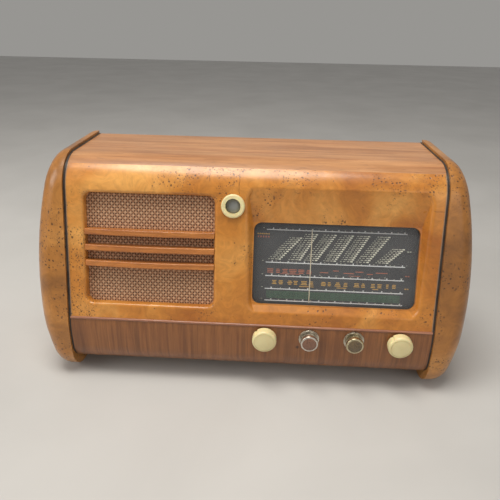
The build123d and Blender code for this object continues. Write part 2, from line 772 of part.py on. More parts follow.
rotor_shaft_r = 3.0
with BuildPart() as drive_drum:
    add(grooved_wheel(drum_x, drum_z, drum_r, rotor_shaft_r, pulley_width, 1.8))
    for depth, inward in ((cord_depth - pulley_width / 2, -1.5), (cord_depth + pulley_width / 2, 1.5)):
        with BuildSketch(facing_plane(drum_x, drum_z, depth)):
            Circle(drum_r - 7)
            Circle(11, mode=Mode.SUBTRACT)
        extrude(amount=inward, mode=Mode.SUBTRACT)
    with BuildSketch(facing_plane(drum_x, drum_z, 0)):
        with PolarLocations(36, 5):
            Circle(11)
    extrude(amount=-2 * cord_depth, mode=Mode.SUBTRACT)
drive_drum.part.label = "drive_drum"
export_step(drive_drum.part, "parts/drive_drum.step")

cord_turns = []             # direction, from each wheel's centre, where the cord leaves it
for wheel, following in zip(cord_wheels, cord_wheels[1:] + cord_wheels[:1]):
    reach = hypot(following[0] - wheel[0], following[1] - wheel[1])
    heading = atan2(following[1] - wheel[1], following[0] - wheel[0])
    cord_turns.append(heading - acos((wheel[2] - following[2]) / reach))


def on_wheel(wheel, turn):
    """Point on a wheel's cord line in a given direction from its centre."""
    x, z, r = wheel
    return (x + r * cos(turn), z + r * sin(turn))


with BuildPart() as drive_cord:
    with BuildLine(facing_plane(0, 0, cord_depth)) as cord_route:
        for i, wheel in enumerate(cord_wheels):
            arriving = cord_turns[i - 1]
            wrap = (cord_turns[i] - arriving) % (2 * pi)
            CenterArc(wheel[:2], wheel[2], degrees(arriving), degrees(wrap))
            following = cord_wheels[(i + 1) % len(cord_wheels)]
            Line(on_wheel(wheel, cord_turns[i]), on_wheel(following, cord_turns[i]))
    cord_loop = cord_route.wires()[0]
    with BuildSketch(Plane(origin=cord_loop @ 0, z_dir=cord_loop % 0)):
        Circle(cord_d / 2)
    sweep(path=cord_loop)
drive_cord.part.label = "drive_cord"
export_step(drive_cord.part, "parts/drive_cord.step")

bush_front = chassis_front - 6.0
bush_back = chassis_front + 10.0
shaft_front = knob_reach - 4.0
with BuildPart() as tuning_spindle:
    with BuildSketch(facing_plane(spindle_x, knob_z, -shaft_front)):
        Circle(shaft_r)
    extrude(amount=-shaft_front - bush_back - 6)
    with BuildSketch(facing_plane(spindle_x, knob_z, cord_depth - pulley_width / 2)):
        Circle(spindle_r + 1.6)
    extrude(amount=-pulley_width)
    with BuildSketch(facing_plane(spindle_x, knob_z, cord_depth - cord_d)):
        Circle(spindle_r + 3)
        Circle(spindle_r - groove_room, mode=Mode.SUBTRACT)
    extrude(amount=-2 * cord_d, mode=Mode.SUBTRACT)
    with BuildSketch(facing_plane(spindle_x, knob_z, bush_back + 0.3)):
        Circle(shaft_r + 2)
    extrude(amount=-3)
tuning_spindle.part.label = "tuning_spindle"
export_step(tuning_spindle.part, "parts/tuning_spindle.step")

bush_r = 5.0
with BuildPart() as tuning_bush:
    with BuildSketch(facing_plane(spindle_x, knob_z, bush_front)):
        Circle(bush_r)
    extrude(amount=bush_front - bush_back)
    for depth in (chassis_front - 2, chassis_front + sheet_steel):
        with BuildSketch(facing_plane(spindle_x, knob_z, depth)):
            RegularPolygon(bush_r + 3, 6)
        extrude(amount=-2)
    with BuildSketch(facing_plane(spindle_x, knob_z, 0)):
        Circle(shaft_r + run_gap)
    extrude(amount=-2 * chassis_front, mode=Mode.SUBTRACT)
tuning_bush.part.label = "tuning_bush"
export_step(tuning_bush.part, "parts/tuning_bush.step")

# ---------------------------------------------------------------- tuning capacitor
vane_r = 20.0
vane = 0.8
vane_pitch = 5.0
vane_count = 7
frame_front = chassis_front + 8.0
frame_wall = 2.0
vane_first = frame_front + frame_wall + 4.0
frame_back = vane_first + vane_count * vane_pitch + 3.0
frame_half = vane_r + 7.0
tie_angles = (150.0, 210.0)
tie_r = vane_r + 3.0
dial_sweep = pointer_last_x - pointer_first_x
rest_turn = 180.0 * (pointer_x - pointer_first_x) / dial_sweep
with BuildPart() as capacitor_frame:
    for depth in (frame_front, frame_back):
        with BuildSketch(facing_plane(drum_x, (chassis_top + drum_z + frame_half) / 2, depth)):
            Rectangle(2 * frame_half, drum_z + frame_half - chassis_top)
        extrude(amount=-frame_wall)
    with BuildSketch(Plane.XY.offset(chassis_top)):
        with Locations((drum_x, front_y + (frame_front + frame_back + frame_wall) / 2)):
            Rectangle(2 * frame_half, frame_back + frame_wall - frame_front)
    extrude(amount=frame_wall)
    with BuildSketch(facing_plane(drum_x, drum_z, frame_front)):
        for angle in tie_angles:
            with PolarLocations(tie_r, 1, start_angle=angle):
                Circle(1.6)
    extrude(amount=frame_front - frame_back)
    for i in range(vane_count):
        depth = vane_first + (i + 0.5) * vane_pitch
        with BuildSketch(facing_plane(drum_x, drum_z, depth)):
            Circle(tie_r + 2)
            Circle(8, mode=Mode.SUBTRACT)
            with Locations((vane_r + 5, 0)):
                Rectangle(2 * vane_r + 10, 4 * vane_r, mode=Mode.SUBTRACT)
        extrude(amount=-vane)
    with BuildSketch(facing_plane(drum_x, drum_z, 0)):
        Circle(rotor_shaft_r + run_gap)
    extrude(amount=-2 * frame_back, mode=Mode.SUBTRACT)
capacitor_frame.part.label = "capacitor_frame"
export_step(capacitor_frame.part, "parts/capacitor_frame.step")

with BuildPart() as capacitor_rotor:
    rotor_front = cord_depth - pulley_width / 2 - 3
    with BuildSketch(facing_plane(drum_x, drum_z, rotor_front)):
        Circle(rotor_shaft_r)
    extrude(amount=rotor_front - frame_back - frame_wall - 3)
    with BuildSketch(facing_plane(drum_x, drum_z, frame_front + frame_wall + 1)):
        Circle(5.5)
    extrude(amount=-(frame_back - frame_front - frame_wall - 2))
    for i in range(vane_count + 1):
        with BuildSketch(facing_plane(drum_x, drum_z, vane_first + i * vane_pitch)):
            Circle(vane_r)
            turn = radians(rest_turn)
            with Locations((vane_r * sin(turn), -vane_r * cos(turn))):
                Rectangle(4 * vane_r, 2 * vane_r, rotation=rest_turn, mode=Mode.SUBTRACT)
        extrude(amount=-vane)
capacitor_rotor.part.label = "capacitor_rotor"
export_step(capacitor_rotor.part, "parts/capacitor_rotor.step")

# ---------------------------------------------------------------- chassis
valve_base_r = 15.0
socket_r = 17.0
socket_height = 4.0
valve_spots = {"power": ((58.0, 176.0), (104.0, 176.0)), "signal": ((224.0, 118.0), (224.0, 176.0))}
all_valves = [*valve_spots["power"], *valve_spots["signal"]]
selector_x = -12.0
selector_z = 74.0
selector_r = 15.0
inlet_x = 240.0
rear_socket_xs = (120.0, 176.0)
rear_z = 74.0
with BuildPart() as chassis_pan:
    with BuildSketch(Plane.XY.offset(board_top)):
        with Locations((chassis_x, chassis_y)):
            Rectangle(chassis_width, chassis_depth)
    extrude(amount=chassis_top - board_top)
    with BuildSketch(Plane.XY.offset(board_top)):
        with Locations((chassis_x, chassis_y)):
            Rectangle(chassis_width - 2 * sheet_steel, chassis_depth - 2 * sheet_steel)
    extrude(amount=chassis_top - sheet_steel - board_top, mode=Mode.SUBTRACT)
    with BuildSketch(Plane.XY.offset(board_top)):
        with Locations(*bolt_places):
            Rectangle(2 * bolt_inset, 2 * bolt_inset)
            Circle(bolt_r + 0.2, mode=Mode.SUBTRACT)
    extrude(amount=sheet_steel)
    with BuildSketch(Plane.XY.offset(chassis_top)):
        for x, depth in all_valves:
            with Locations((x, front_y + depth)):
                Circle(socket_r - 3)
    extrude(amount=-sheet_steel, mode=Mode.SUBTRACT)
    with BuildSketch(facing_plane(0, knob_z, chassis_front)):
        with Locations(*[(x, 0) for x in knob_xs]):
            Circle(bush_r)
    extrude(amount=-sheet_steel, mode=Mode.SUBTRACT)
chassis_pan.part.label = "chassis_pan"
export_step(chassis_pan.part, "parts/chassis_pan.step")

with BuildPart() as chassis_bolts:
    with BuildSketch(Plane.XY.offset(body_bottom)):
        with Locations(*bolt_places):
            Circle(5)
    extrude(amount=-2.6)
    with BuildSketch(Plane.XY.offset(body_bottom)):
        with Locations(*bolt_places):
            Circle(bolt_r)
    extrude(amount=shell + sheet_steel + 6)
    with BuildSketch(Plane.XY.offset(board_top + sheet_steel)):
        with Locations(*bolt_places):
            RegularPolygon(4.2, 6)
    extrude(amount=3.2)
chassis_bolts.part.label = "chassis_bolts"
export_step(chassis_bolts.part, "parts/chassis_bolts.step")

core_width = 64.0
core_height = 56.0
core_depth = 26.0
transformer_x = chassis_left + 42
transformer_y = front_y + 158
with BuildPart() as mains_transformer:
    with BuildSketch(Plane.XY.offset(chassis_top)):
        with Locations((transformer_x, transformer_y)):
            Rectangle(core_width, core_depth)
    extrude(amount=core_height)
    with BuildSketch(Plane.XY.offset(chassis_top + 12)):
        with Locations((transformer_x, transformer_y)):
            RectangleRounded(core_width - 24, core_depth + 30, 8)
    extrude(amount=core_height - 24)
    fillet(mains_transformer.edges().filter_by(Axis.Z).group_by(Axis.X)[0], radius=3)
mains_transformer.part.label = "mains_transformer"
export_step(mains_transformer.part, "parts/mains_transformer.step")

with BuildPart() as valve_sockets:
    with BuildSketch(Plane.XY.offset(chassis_top)):
        for x, depth in all_valves:
            with Locations((x, front_y + depth)):
                Circle(socket_r)
    extrude(amount=socket_height)
valve_sockets.part.label = "valve_sockets"
export_step(valve_sockets.part, "parts/valve_sockets.step")


def glass_valve(spots, bulb_r, height):
    """Waisted valves standing on their sockets, one solid at each (x, depth) spot."""
    base_height = 20.0
    shoulder = base_height + 0.62 * height
    neck_r = 0.6 * bulb_r
    dome = base_height + height - 0.35 * neck_r
    with BuildPart() as valve:
        for x, depth in spots:
            origin = (x, front_y + depth, chassis_top + socket_height)
            with BuildSketch(Plane(origin=origin, x_dir=(1, 0, 0), z_dir=(0, -1, 0))):
                with BuildLine():
                    Polyline((0, base_height + height), (0, 0), (valve_base_r, 0), (valve_base_r, base_height),
                             (valve_base_r - 1.5, base_height))
                    ThreePointArc((valve_base_r - 1.5, base_height), (bulb_r, base_height + 0.3 * height),
                                  (neck_r + 2, shoulder))
                    Polyline((neck_r + 2, shoulder), (neck_r, shoulder + 3), (neck_r, dome))
                    TangentArc((0, base_height + height), (neck_r, dome), tangent=(1, 0))
                make_face()
            revolve(axis=Axis(origin, (0, 0, 1)))
    return valve.part


for name, spots, bulb_r, height in (
    ("power_valves", valve_spots["power"], 21.0, 84.0),
    ("signal_valves", valve_spots["signal"], 18.0, 66.0),
):
    with BuildPart() as valve:
        add(glass_valve(spots, bulb_r, height))
    valve.part.label = name
    export_step(valve.part, f"parts/{name}.step")

with BuildPart() as if_cans:
    with BuildSketch(Plane.XY.offset(chassis_top)):
        for x, depth in ((120.0, 116.0), (166.0, 184.0)):
            with Locations((x, front_y + depth)):
                RectangleRounded(30, 30, 4)
    extrude(amount=70)
    fillet(if_cans.faces().group_by(Axis.Z)[-1].edges(), radius=2)
if_cans.part.label = "if_cans"
export_step(if_cans.part, "parts/if_cans.step")

# ---------------------------------------------------------------- front controls
control_end = chassis_front + 14.0


def panel_bush(x):
    """Threaded bush with its nut, through the chassis front, still unbored."""
    with BuildPart() as bush:
        with BuildSketch(facing_plane(x, knob_z, bush_front)):
            Circle(bush_r)
        extrude(amount=bush_front - control_end)
        with BuildSketch(facing_plane(x, knob_z, chassis_front - 2.5)):
            RegularPolygon(bush_r + 3, 6)
        extrude(amount=-2.5)
    return bush.part


with BuildPart() as potentiometers:
    for x in knob_xs[:2]:
        add(panel_bush(x))
        with BuildSketch(facing_plane(x, knob_z, chassis_front + sheet_steel)):
            Circle(12.5)
        extrude(amount=chassis_front + sheet_steel - control_end)
        with BuildSketch(facing_plane(x, knob_z - 15, chassis_front + 5)):
            with GridLocations(7, 1, 3, 1):
                Rectangle(3, 8)
        extrude(amount=-1)
        with BuildSketch(facing_plane(x, knob_z, 0)):
            Circle(shaft_r + run_gap)
        extrude(amount=-control_end + 2, mode=Mode.SUBTRACT)
potentiometers.part.label = "potentiometers"
export_step(potentiometers.part, "parts/potentiometers.step")

with BuildPart() as band_switch:
    add(panel_bush(knob_xs[2]))
    for depth in (chassis_front + sheet_steel, control_end - 3):
        with BuildSketch(facing_plane(knob_xs[2], knob_z - 8, depth)):
            RectangleRounded(30, 38, 4)
        extrude(amount=-2)
    with BuildSketch(facing_plane(knob_xs[2], knob_z, 0)):
        Circle(shaft_r + run_gap)
    extrude(amount=-control_end + 2, mode=Mode.SUBTRACT)
band_switch.part.label = "band_switch"
export_step(band_switch.part, "parts/band_switch.step")

for name, x in zip(("volume_shaft", "tone_shaft", "band_shaft"), knob_xs):
    with BuildPart() as control_shaft:
        with BuildSketch(facing_plane(x, knob_z, -shaft_front)):
            Circle(shaft_r)
        extrude(amount=-shaft_front - control_end + 2.4)
    control_shaft.part.label = name
    export_step(control_shaft.part, f"parts/{name}.step")

knob_back = 2.6             # knobs stop this far in front of the band's nominal front
for name, x in (("volume_knob", knob_xs[0]), ("tuning_knob", knob_xs[3])):
    with BuildPart() as large_knob:
        with BuildSketch(Plane(origin=(x, front_y, knob_z), x_dir=(1, 0, 0), z_dir=(0, 0, 1))):
            with BuildLine():
                Polyline((0, -knob_back), (large_knob_r - 1, -knob_back), (large_knob_r, -knob_back - 1),
                         (large_knob_r, -knob_reach + 5.5))
                ThreePointArc((large_knob_r, -knob_reach + 5.5), (large_knob_r - 1.2, -knob_reach + 2.2),
                              (large_knob_r - 4, -knob_reach + 1))
                TangentArc((0, -knob_reach), (large_knob_r - 4, -knob_reach + 1), tangent=(1, 0))
                Line((0, -knob_reach), (0, -knob_back))
            make_face()
        revolve(axis=Axis((x, front_y, knob_z), (0, 1, 0)))
        with BuildSketch(facing_plane(x, knob_z, -knob_reach - 1)):
            Circle(large_knob_r - 3.4)
            Circle(large_knob_r - 4.2, mode=Mode.SUBTRACT)
        extrude(amount=-2.8, mode=Mode.SUBTRACT)
        with BuildSketch(facing_plane(x, knob_z, -knob_reach - 1)):
            with PolarLocations(large_knob_r + 1.2, 1, start_angle=135):
                Circle(3)
        extrude(amount=-knob_reach, mode=Mode.SUBTRACT)
        with BuildSketch(facing_plane(x, knob_z, -shaft_front)):
            Circle(shaft_r)
        extrude(amount=-knob_reach, mode=Mode.SUBTRACT)
    large_knob.part.label = name
    export_step(large_knob.part, f"parts/{name}.step")

for name, x in (("tone_knob", knob_xs[1]), ("band_knob", knob_xs[2])):
    with BuildPart() as small_knob:
        with BuildSketch(Plane(origin=(x, front_y, knob_z), x_dir=(1, 0, 0), z_dir=(0, 0, 1))):
            with BuildLine():
                Polyline((0, -knob_back), (small_knob_r - 1.5, -knob_back),
                         (small_knob_r - 1.5, -knob_reach + 7), (small_knob_r, -knob_reach + 6.2),
                         (small_knob_r, -knob_reach + 3.4))
                ThreePointArc((small_knob_r, -knob_reach + 3.4), (small_knob_r - 0.9, -knob_reach + 1.9),
                              (small_knob_r - 2.6, -knob_reach + 1.7))
                TangentArc((0, -knob_reach), (small_knob_r - 2.6, -knob_reach + 1.7), tangent=(1, 0))
                Line((0, -knob_reach), (0, -knob_back))
            make_face()
        revolve(axis=Axis((x, front_y, knob_z), (0, 1, 0)))
        with BuildSketch(facing_plane(x, knob_z, -shaft_front)):
            Circle(shaft_r)
        extrude(amount=-knob_reach, mode=Mode.SUBTRACT)
    small_knob.part.label = name
    export_step(small_knob.part, f"parts/{name}.step")

with BuildPart() as knob_rings:
    for x in knob_xs[1:3]:
        with BuildSketch(facing_plane(x, knob_z, ring_seat)):
            Circle(ring_r)
            Circle(shaft_hole_r, mode=Mode.SUBTRACT)
        extrude(amount=ring_seat + band_proud + 0.6)
    fillet(knob_rings.faces().group_by(Axis.Y)[0].edges(), radius=0.5)
knob_rings.part.label = "knob_rings"
export_step(knob_rings.part, "parts/knob_rings.step")

# ---------------------------------------------------------------- back
cover_gap = 1.0
cover_low = body_bottom + 1
cover_high = body_top - shell - cover_gap
cover_width = body_width - 2 * cover_gap
vent_r = 3.2
chassis_back_y = front_y + chassis_back
socket_reach = cover_y + cover + 2 - chassis_back_y
with BuildPart() as rear_cover:
    with BuildSketch(rear_plane(0, (cover_low + cover_high) / 2, cover_y)):
        RectangleRounded(cover_width, cover_high - cover_low, 6)
        with Locations((0, 92)):
            with GridLocations(15, 13, 28, 4):
                Circle(vent_r, mode=Mode.SUBTRACT)
        with Locations((150, -10), (-120, -10)):
            with GridLocations(15, 13, 9, 6):
                Circle(vent_r, mode=Mode.SUBTRACT)
    extrude(amount=cover)
    with BuildSketch(rear_plane(0, rear_z, cover_y)):
        with Locations((-selector_x, 0)):
            Circle(selector_r + 1.5)
        with Locations(*[(-x, 0) for x in rear_socket_xs]):
            RectangleRounded(48, 22, 3)
        with Locations((-inlet_x, 0)):
            RectangleRounded(38, 26, 3)
    extrude(amount=cover, mode=Mode.SUBTRACT)
    with BuildSketch(rear_plane(0, 0, cover_y)):
        with Locations(*[(x, z) for x in (-cover_screw_x, cover_screw_x) for z in side_screw_zs],
                       *[(x, floor_screw_z) for x in floor_screw_xs]):
            Circle(screw_r + 0.3)
    extrude(amount=cover, mode=Mode.SUBTRACT)
rear_cover.part.label = "rear_cover"
export_step(rear_cover.part, "parts/rear_cover.step")

with BuildPart() as rear_cover_screws:
    screw_places = [(x, z) for x in (-cover_screw_x, cover_screw_x) for z in side_screw_zs]
    screw_places += [(x, floor_screw_z) for x in floor_screw_xs]
    with BuildSketch(rear_plane(0, 0, cover_y)):
        with Locations(*screw_places):
            Circle(screw_r)
    extrude(amount=-screw_grip)
    with BuildSketch(rear_plane(0, 0, cover_y)):
        with Locations(*screw_places):
            Circle(screw_r)
    extrude(amount=cover)
    with BuildSketch(rear_plane(0, 0, cover_y + cover)):
        with Locations(*screw_places):
            Circle(4)
    extrude(amount=2.4, taper=25)
rear_cover_screws.part.label = "rear_cover_screws"
export_step(rear_cover_screws.part, "parts/rear_cover_screws.step")

with BuildPart() as voltage_selector:
    with BuildSketch(rear_plane(selector_x, selector_z, chassis_back_y)):
        Circle(selector_r)
    extrude(amount=socket_reach)
    with BuildSketch(rear_plane(selector_x, selector_z, chassis_back_y + socket_reach)):
        Circle(shaft_r + run_gap)
    extrude(amount=-12, mode=Mode.SUBTRACT)
voltage_selector.part.label = "voltage_selector"
export_step(voltage_selector.part, "parts/voltage_selector.step")

cap_y = chassis_back_y + socket_reach + 0.3
cap_depth = back_y + cheek_back - cap_y - 1.0
with BuildPart() as voltage_cap:
    with BuildSketch(rear_plane(selector_x, selector_z, cap_y)):
        Circle(selector_r - 3)
        with PolarLocations(selector_r - 3, 12):
            Circle(1.1, mode=Mode.SUBTRACT)
    extrude(amount=cap_depth)
    with BuildSketch(rear_plane(selector_x, selector_z, cap_y + cap_depth)):
        Rectangle(2, 2 * selector_r - 10)
    extrude(amount=-1.6, mode=Mode.SUBTRACT)
    with BuildSketch(rear_plane(selector_x, selector_z, cap_y)):
        Circle(shaft_r)
    extrude(amount=-11)
voltage_cap.part.label = "voltage_cap"
export_step(voltage_cap.part, "parts/voltage_cap.step")

with BuildPart() as rear_sockets:
    for x in rear_socket_xs:
        with BuildSketch(rear_plane(x, rear_z, chassis_back_y)):
            RectangleRounded(44, 18, 3)
        extrude(amount=socket_reach - 4)
        with BuildSketch(rear_plane(x, rear_z, chassis_back_y + socket_reach - 4)):
            with GridLocations(19, 1, 2, 1):
                Circle(5.5)
        extrude(amount=4)
        with BuildSketch(rear_plane(x, rear_z, chassis_back_y + socket_reach)):
            with GridLocations(19, 1, 2, 1):
                Circle(2.1)
        extrude(amount=-socket_reach + 2, mode=Mode.SUBTRACT)
rear_sockets.part.label = "rear_sockets"
export_step(rear_sockets.part, "parts/rear_sockets.step")

inlet_depth = 9.0
with BuildPart() as mains_inlet:
    with BuildSketch(rear_plane(inlet_x, rear_z, chassis_back_y)):
        RectangleRounded(34, 22, 4)
    extrude(amount=socket_reach)
    with BuildSketch(rear_plane(inlet_x, rear_z, chassis_back_y + socket_reach)):
        RectangleRounded(28, 16, 3)
        with GridLocations(14, 1, 2, 1):
            Circle(2.0, mode=Mode.SUBTRACT)
    extrude(amount=-inlet_depth, mode=Mode.SUBTRACT)
mains_inlet.part.label = "mains_inlet"
export_step(mains_inlet.part, "parts/mains_inlet.step")
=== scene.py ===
# %% [markdown]
# # A valve table radio, finished in veneer, cloth, glass and plastic
# The cabinet, dial, knobs and works arrive as a fixed frame of measured solids. This lesson gives each of
# them the surface the real thing has, and adds what solids alone can't show: woven cloth and a printed
# dial.

from math import atan2, cos, degrees, pi, radians, sin

import bmesh
import bpy
from mathutils import Matrix, Vector


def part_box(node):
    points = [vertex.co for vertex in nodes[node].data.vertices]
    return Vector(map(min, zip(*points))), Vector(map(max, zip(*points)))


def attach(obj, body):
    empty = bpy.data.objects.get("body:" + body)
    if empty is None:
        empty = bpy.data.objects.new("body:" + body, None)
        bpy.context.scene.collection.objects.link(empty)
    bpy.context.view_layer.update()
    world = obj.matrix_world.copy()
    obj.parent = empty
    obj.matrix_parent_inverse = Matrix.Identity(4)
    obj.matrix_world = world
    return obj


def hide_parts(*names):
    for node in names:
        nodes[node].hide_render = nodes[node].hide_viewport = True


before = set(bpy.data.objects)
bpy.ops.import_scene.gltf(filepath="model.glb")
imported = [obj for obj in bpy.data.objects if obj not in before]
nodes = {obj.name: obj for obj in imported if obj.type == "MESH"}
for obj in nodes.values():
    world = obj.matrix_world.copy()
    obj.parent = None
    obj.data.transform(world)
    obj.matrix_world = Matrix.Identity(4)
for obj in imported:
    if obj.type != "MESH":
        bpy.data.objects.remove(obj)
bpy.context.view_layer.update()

# %% [markdown]
# ## The camera
# The set stands on the floor and is seen from a standing height, a little to the right of its middle.
# A slightly wide lens and a small roll give the same perspective as someone looking down at it.

# %% Place the camera
EYE = Vector((0.0294, -0.7400, 0.5380))
LENS_MM = 35.64
PITCH = radians(-25.39)
YAW = radians(2.68)
ROLL = radians(1.07)
SENSOR_MM = 36.0
camera_data = bpy.data.cameras.new("viewer")
camera_data.lens = LENS_MM
camera_data.sensor_width = SENSOR_MM
camera = bpy.data.objects.new("viewer", camera_data)
bpy.context.scene.collection.objects.link(camera)
camera.matrix_world = (Matrix.Translation(EYE) @ Matrix.Rotation(YAW, 4, "Z")
                       @ Matrix.Rotation(pi / 2 + PITCH, 4, "X") @ Matrix.Rotation(ROLL, 4, "Z"))
bpy.context.scene.camera = camera
print("camera at", [round(x, 3) for x in EYE])

# %% [markdown]
# ## Light
# The light could come from one even dome, but then nothing would shine. Instead, one large soft lamp
# overhead makes the streak along the rounded nose of the cabinet, two weaker ones light its face, and a
# dim room fills the shadows.

# %% Hang the lamps
SCENE = bpy.context.scene


def lamp(name, place, aim, size, watts, colour):
    """A soft rectangular lamp pointing at a spot."""
    data = bpy.data.lights.new(name, "AREA")
    data.shape = "RECTANGLE"
    data.size, data.size_y = size
    data.energy = watts
    data.color = colour
    item = bpy.data.objects.new(name, data)
    SCENE.collection.objects.link(item)
    item.location = place
    item.rotation_euler = (Vector(aim) - Vector(place)).to_track_quat("-Z", "Y").to_euler()
    print("lamp", name, watts, "watts")


CABINET_MIDDLE = (0.0, 0.0, 0.15)
lamp("ceiling_lamp", (-0.25, -0.35, 2.2), CABINET_MIDDLE, (1.3, 0.9), 41, (1.0, 0.96, 0.88))
lamp("window", (-2.2, -1.2, 1.5), CABINET_MIDDLE, (1.4, 1.6), 24, (1.0, 0.98, 0.93))
lamp("room_fill", (1.6, -2.4, 1.3), CABINET_MIDDLE, (2.0, 1.6), 10, (1.0, 0.97, 0.92))
world = bpy.data.worlds.new("room")
world.use_nodes = True
surround = world.node_tree.nodes["Background"].inputs
surround["Color"].default_value = (0.84, 0.82, 0.78, 1)
surround["Strength"].default_value = 0.37
SCENE.world = world
SCENE.view_settings.view_transform = "Standard"
SCENE.view_settings.look = "None"

# %% [markdown]
# ## A small kit for materials
# Every finish is a node tree on Object coordinates, so its pattern sits still in the piece and has real
# sizes. Painted images would do too, but they smear on curved wood. These helpers keep each recipe short:
# add a node, join it up, and blend colours.

# %% Helpers for node trees


class Finish:
    """A material in the making: its tree, its main shader and its coordinates."""

    def __init__(self, name, roughness=0.5, metallic=0.0, **sockets):
        self.material = bpy.data.materials.new(name)
        self.material.use_nodes = True
        self.tree = self.material.node_tree
        self.shader = self.tree.nodes["Principled BSDF"]
        self.shader.inputs["Roughness"].default_value = roughness
        self.shader.inputs["Metallic"].default_value = metallic
        for label, value in sockets.items():
            self.shader.inputs[label.replace("_", " ")].default_value = value
        self.place = self.tree.nodes.new("ShaderNodeTexCoord").outputs["Object"]

    def give(self, socket, value):
        """Feeds a socket from another node, or sets it to a constant."""
        if isinstance(value, bpy.types.NodeSocket):
            self.tree.links.new(value, socket)
        else:
            socket.default_value = value

    def add(self, kind, inputs=None, **settings):
        """Adds a node. Inputs may be values or sockets."""
        made = self.tree.nodes.new("ShaderNode" + kind)
        for label, value in settings.items():
            setattr(made, label, value)
        for label, value in (inputs or {}).items():
            self.give(made.inputs[label], value)
        return made

    def stretch(self, scale):
        """Coordinates stretched along the axes, for grain."""
        return self.add("Mapping", {"Vector": self.place, "Scale": scale}).outputs["Vector"]

    def vector(self, operation, first, second=(0, 0, 0)):
        """Arithmetic on two vectors."""
        return self.add("VectorMath", {0: first, 1: second}, operation=operation).outputs["Vector"]

    def noise(self, vector, scale, detail=4.0, distortion=0.0, roughness=0.5):
        """Soft random value from 0 to 1."""
        made = self.add("TexNoise", {"Vector": vector, "Scale": scale, "Detail": detail,
                                     "Distortion": distortion, "Roughness": roughness})
        return made.outputs["Fac"]

    def ramp(self, value, *stops):
        """Colours or greys at positions along a value."""
        made = self.add("ValToRGB", {"Fac": value})
        band = made.color_ramp.elements
        while len(band) < len(stops):
            band.new(1.0)
        for element, (position, colour) in zip(band, stops):
            element.position = position
            if isinstance(colour, (int, float)):
                colour = (colour, colour, colour)
            element.color = (*colour, 1)
        return made.outputs["Color"]

    def mix(self, amount, first, second, mode="MIX"):
        """Blend of two colours by an amount."""
        made = self.add("Mix", data_type="RGBA", blend_type=mode)
        self.give(made.inputs["Factor"], amount)
        ends = [socket for socket in made.inputs if socket.type == "RGBA"]
        for socket, colour in zip(ends, (first, second)):
            self.give(socket, colour if isinstance(colour, bpy.types.NodeSocket) else (*colour, 1))
        return next(socket for socket in made.outputs if socket.type == "RGBA")

    def maths(self, operation, first, second=0.0):
        """Arithmetic on two values."""
        return self.add("Math", {0: first, 1: second}, operation=operation).outputs["Value"]

    def times(self, first, second):
        """Product of two values."""
        return self.maths("MULTIPLY", first, second)

    def larger(self, first, second):
        """The larger of two values. The first may be missing."""
        return second if first is None else self.maths("MAXIMUM", first, second)

    def axis(self, letter):
        """One coordinate of the place, in metres."""
        return self.add("SeparateXYZ", {"Vector": self.place}).outputs[letter]

    def near(self, value, centre, reach):
        """1 within reach of a centre, else 0."""
        away = self.maths("ABSOLUTE", self.maths("SUBTRACT", value, centre))
        return self.maths("LESS_THAN", away, reach)

    def show(self, colour, roughness, height=None, relief=0.0, strength=1.0):
        """Joins the pattern to the shader. relief is how deep the height pattern is, in metres."""
        self.give(self.shader.inputs["Base Color"], colour)
        self.give(self.shader.inputs["Roughness"], roughness)
        if height is not None:
            bump = self.add("Bump", {"Height": height, "Distance": relief, "Strength": strength})
            self.give(self.shader.inputs["Normal"], bump.outputs["Normal"])
        return self.material


print("kit ready:", ", ".join(name for name in vars(Finish) if not name.startswith("_")))

# %% [markdown]
# ## Burl veneer
# Poplar or birch burl is honey coloured, cloudy, and peppered with clusters of tiny dark buds. Three
# layers make it: slow clouds for the colour, fine swirling figure, and buds from a Voronoi pattern that
# only shows where a second, slower noise says there is a cluster. Polish sits over it as a thin coat.

# %% A recipe for burl
BUDS = ((200.0, 0.50), (360.0, 0.62))     # buds per metre, and the share of them that stays hidden
CRACK = 0.00032             # half the width of a hairline crack
JOINT = 0.0003              # half the width of a joint between two leaves of veneer
WANDER = 0.004              # how far a crack strays from its line


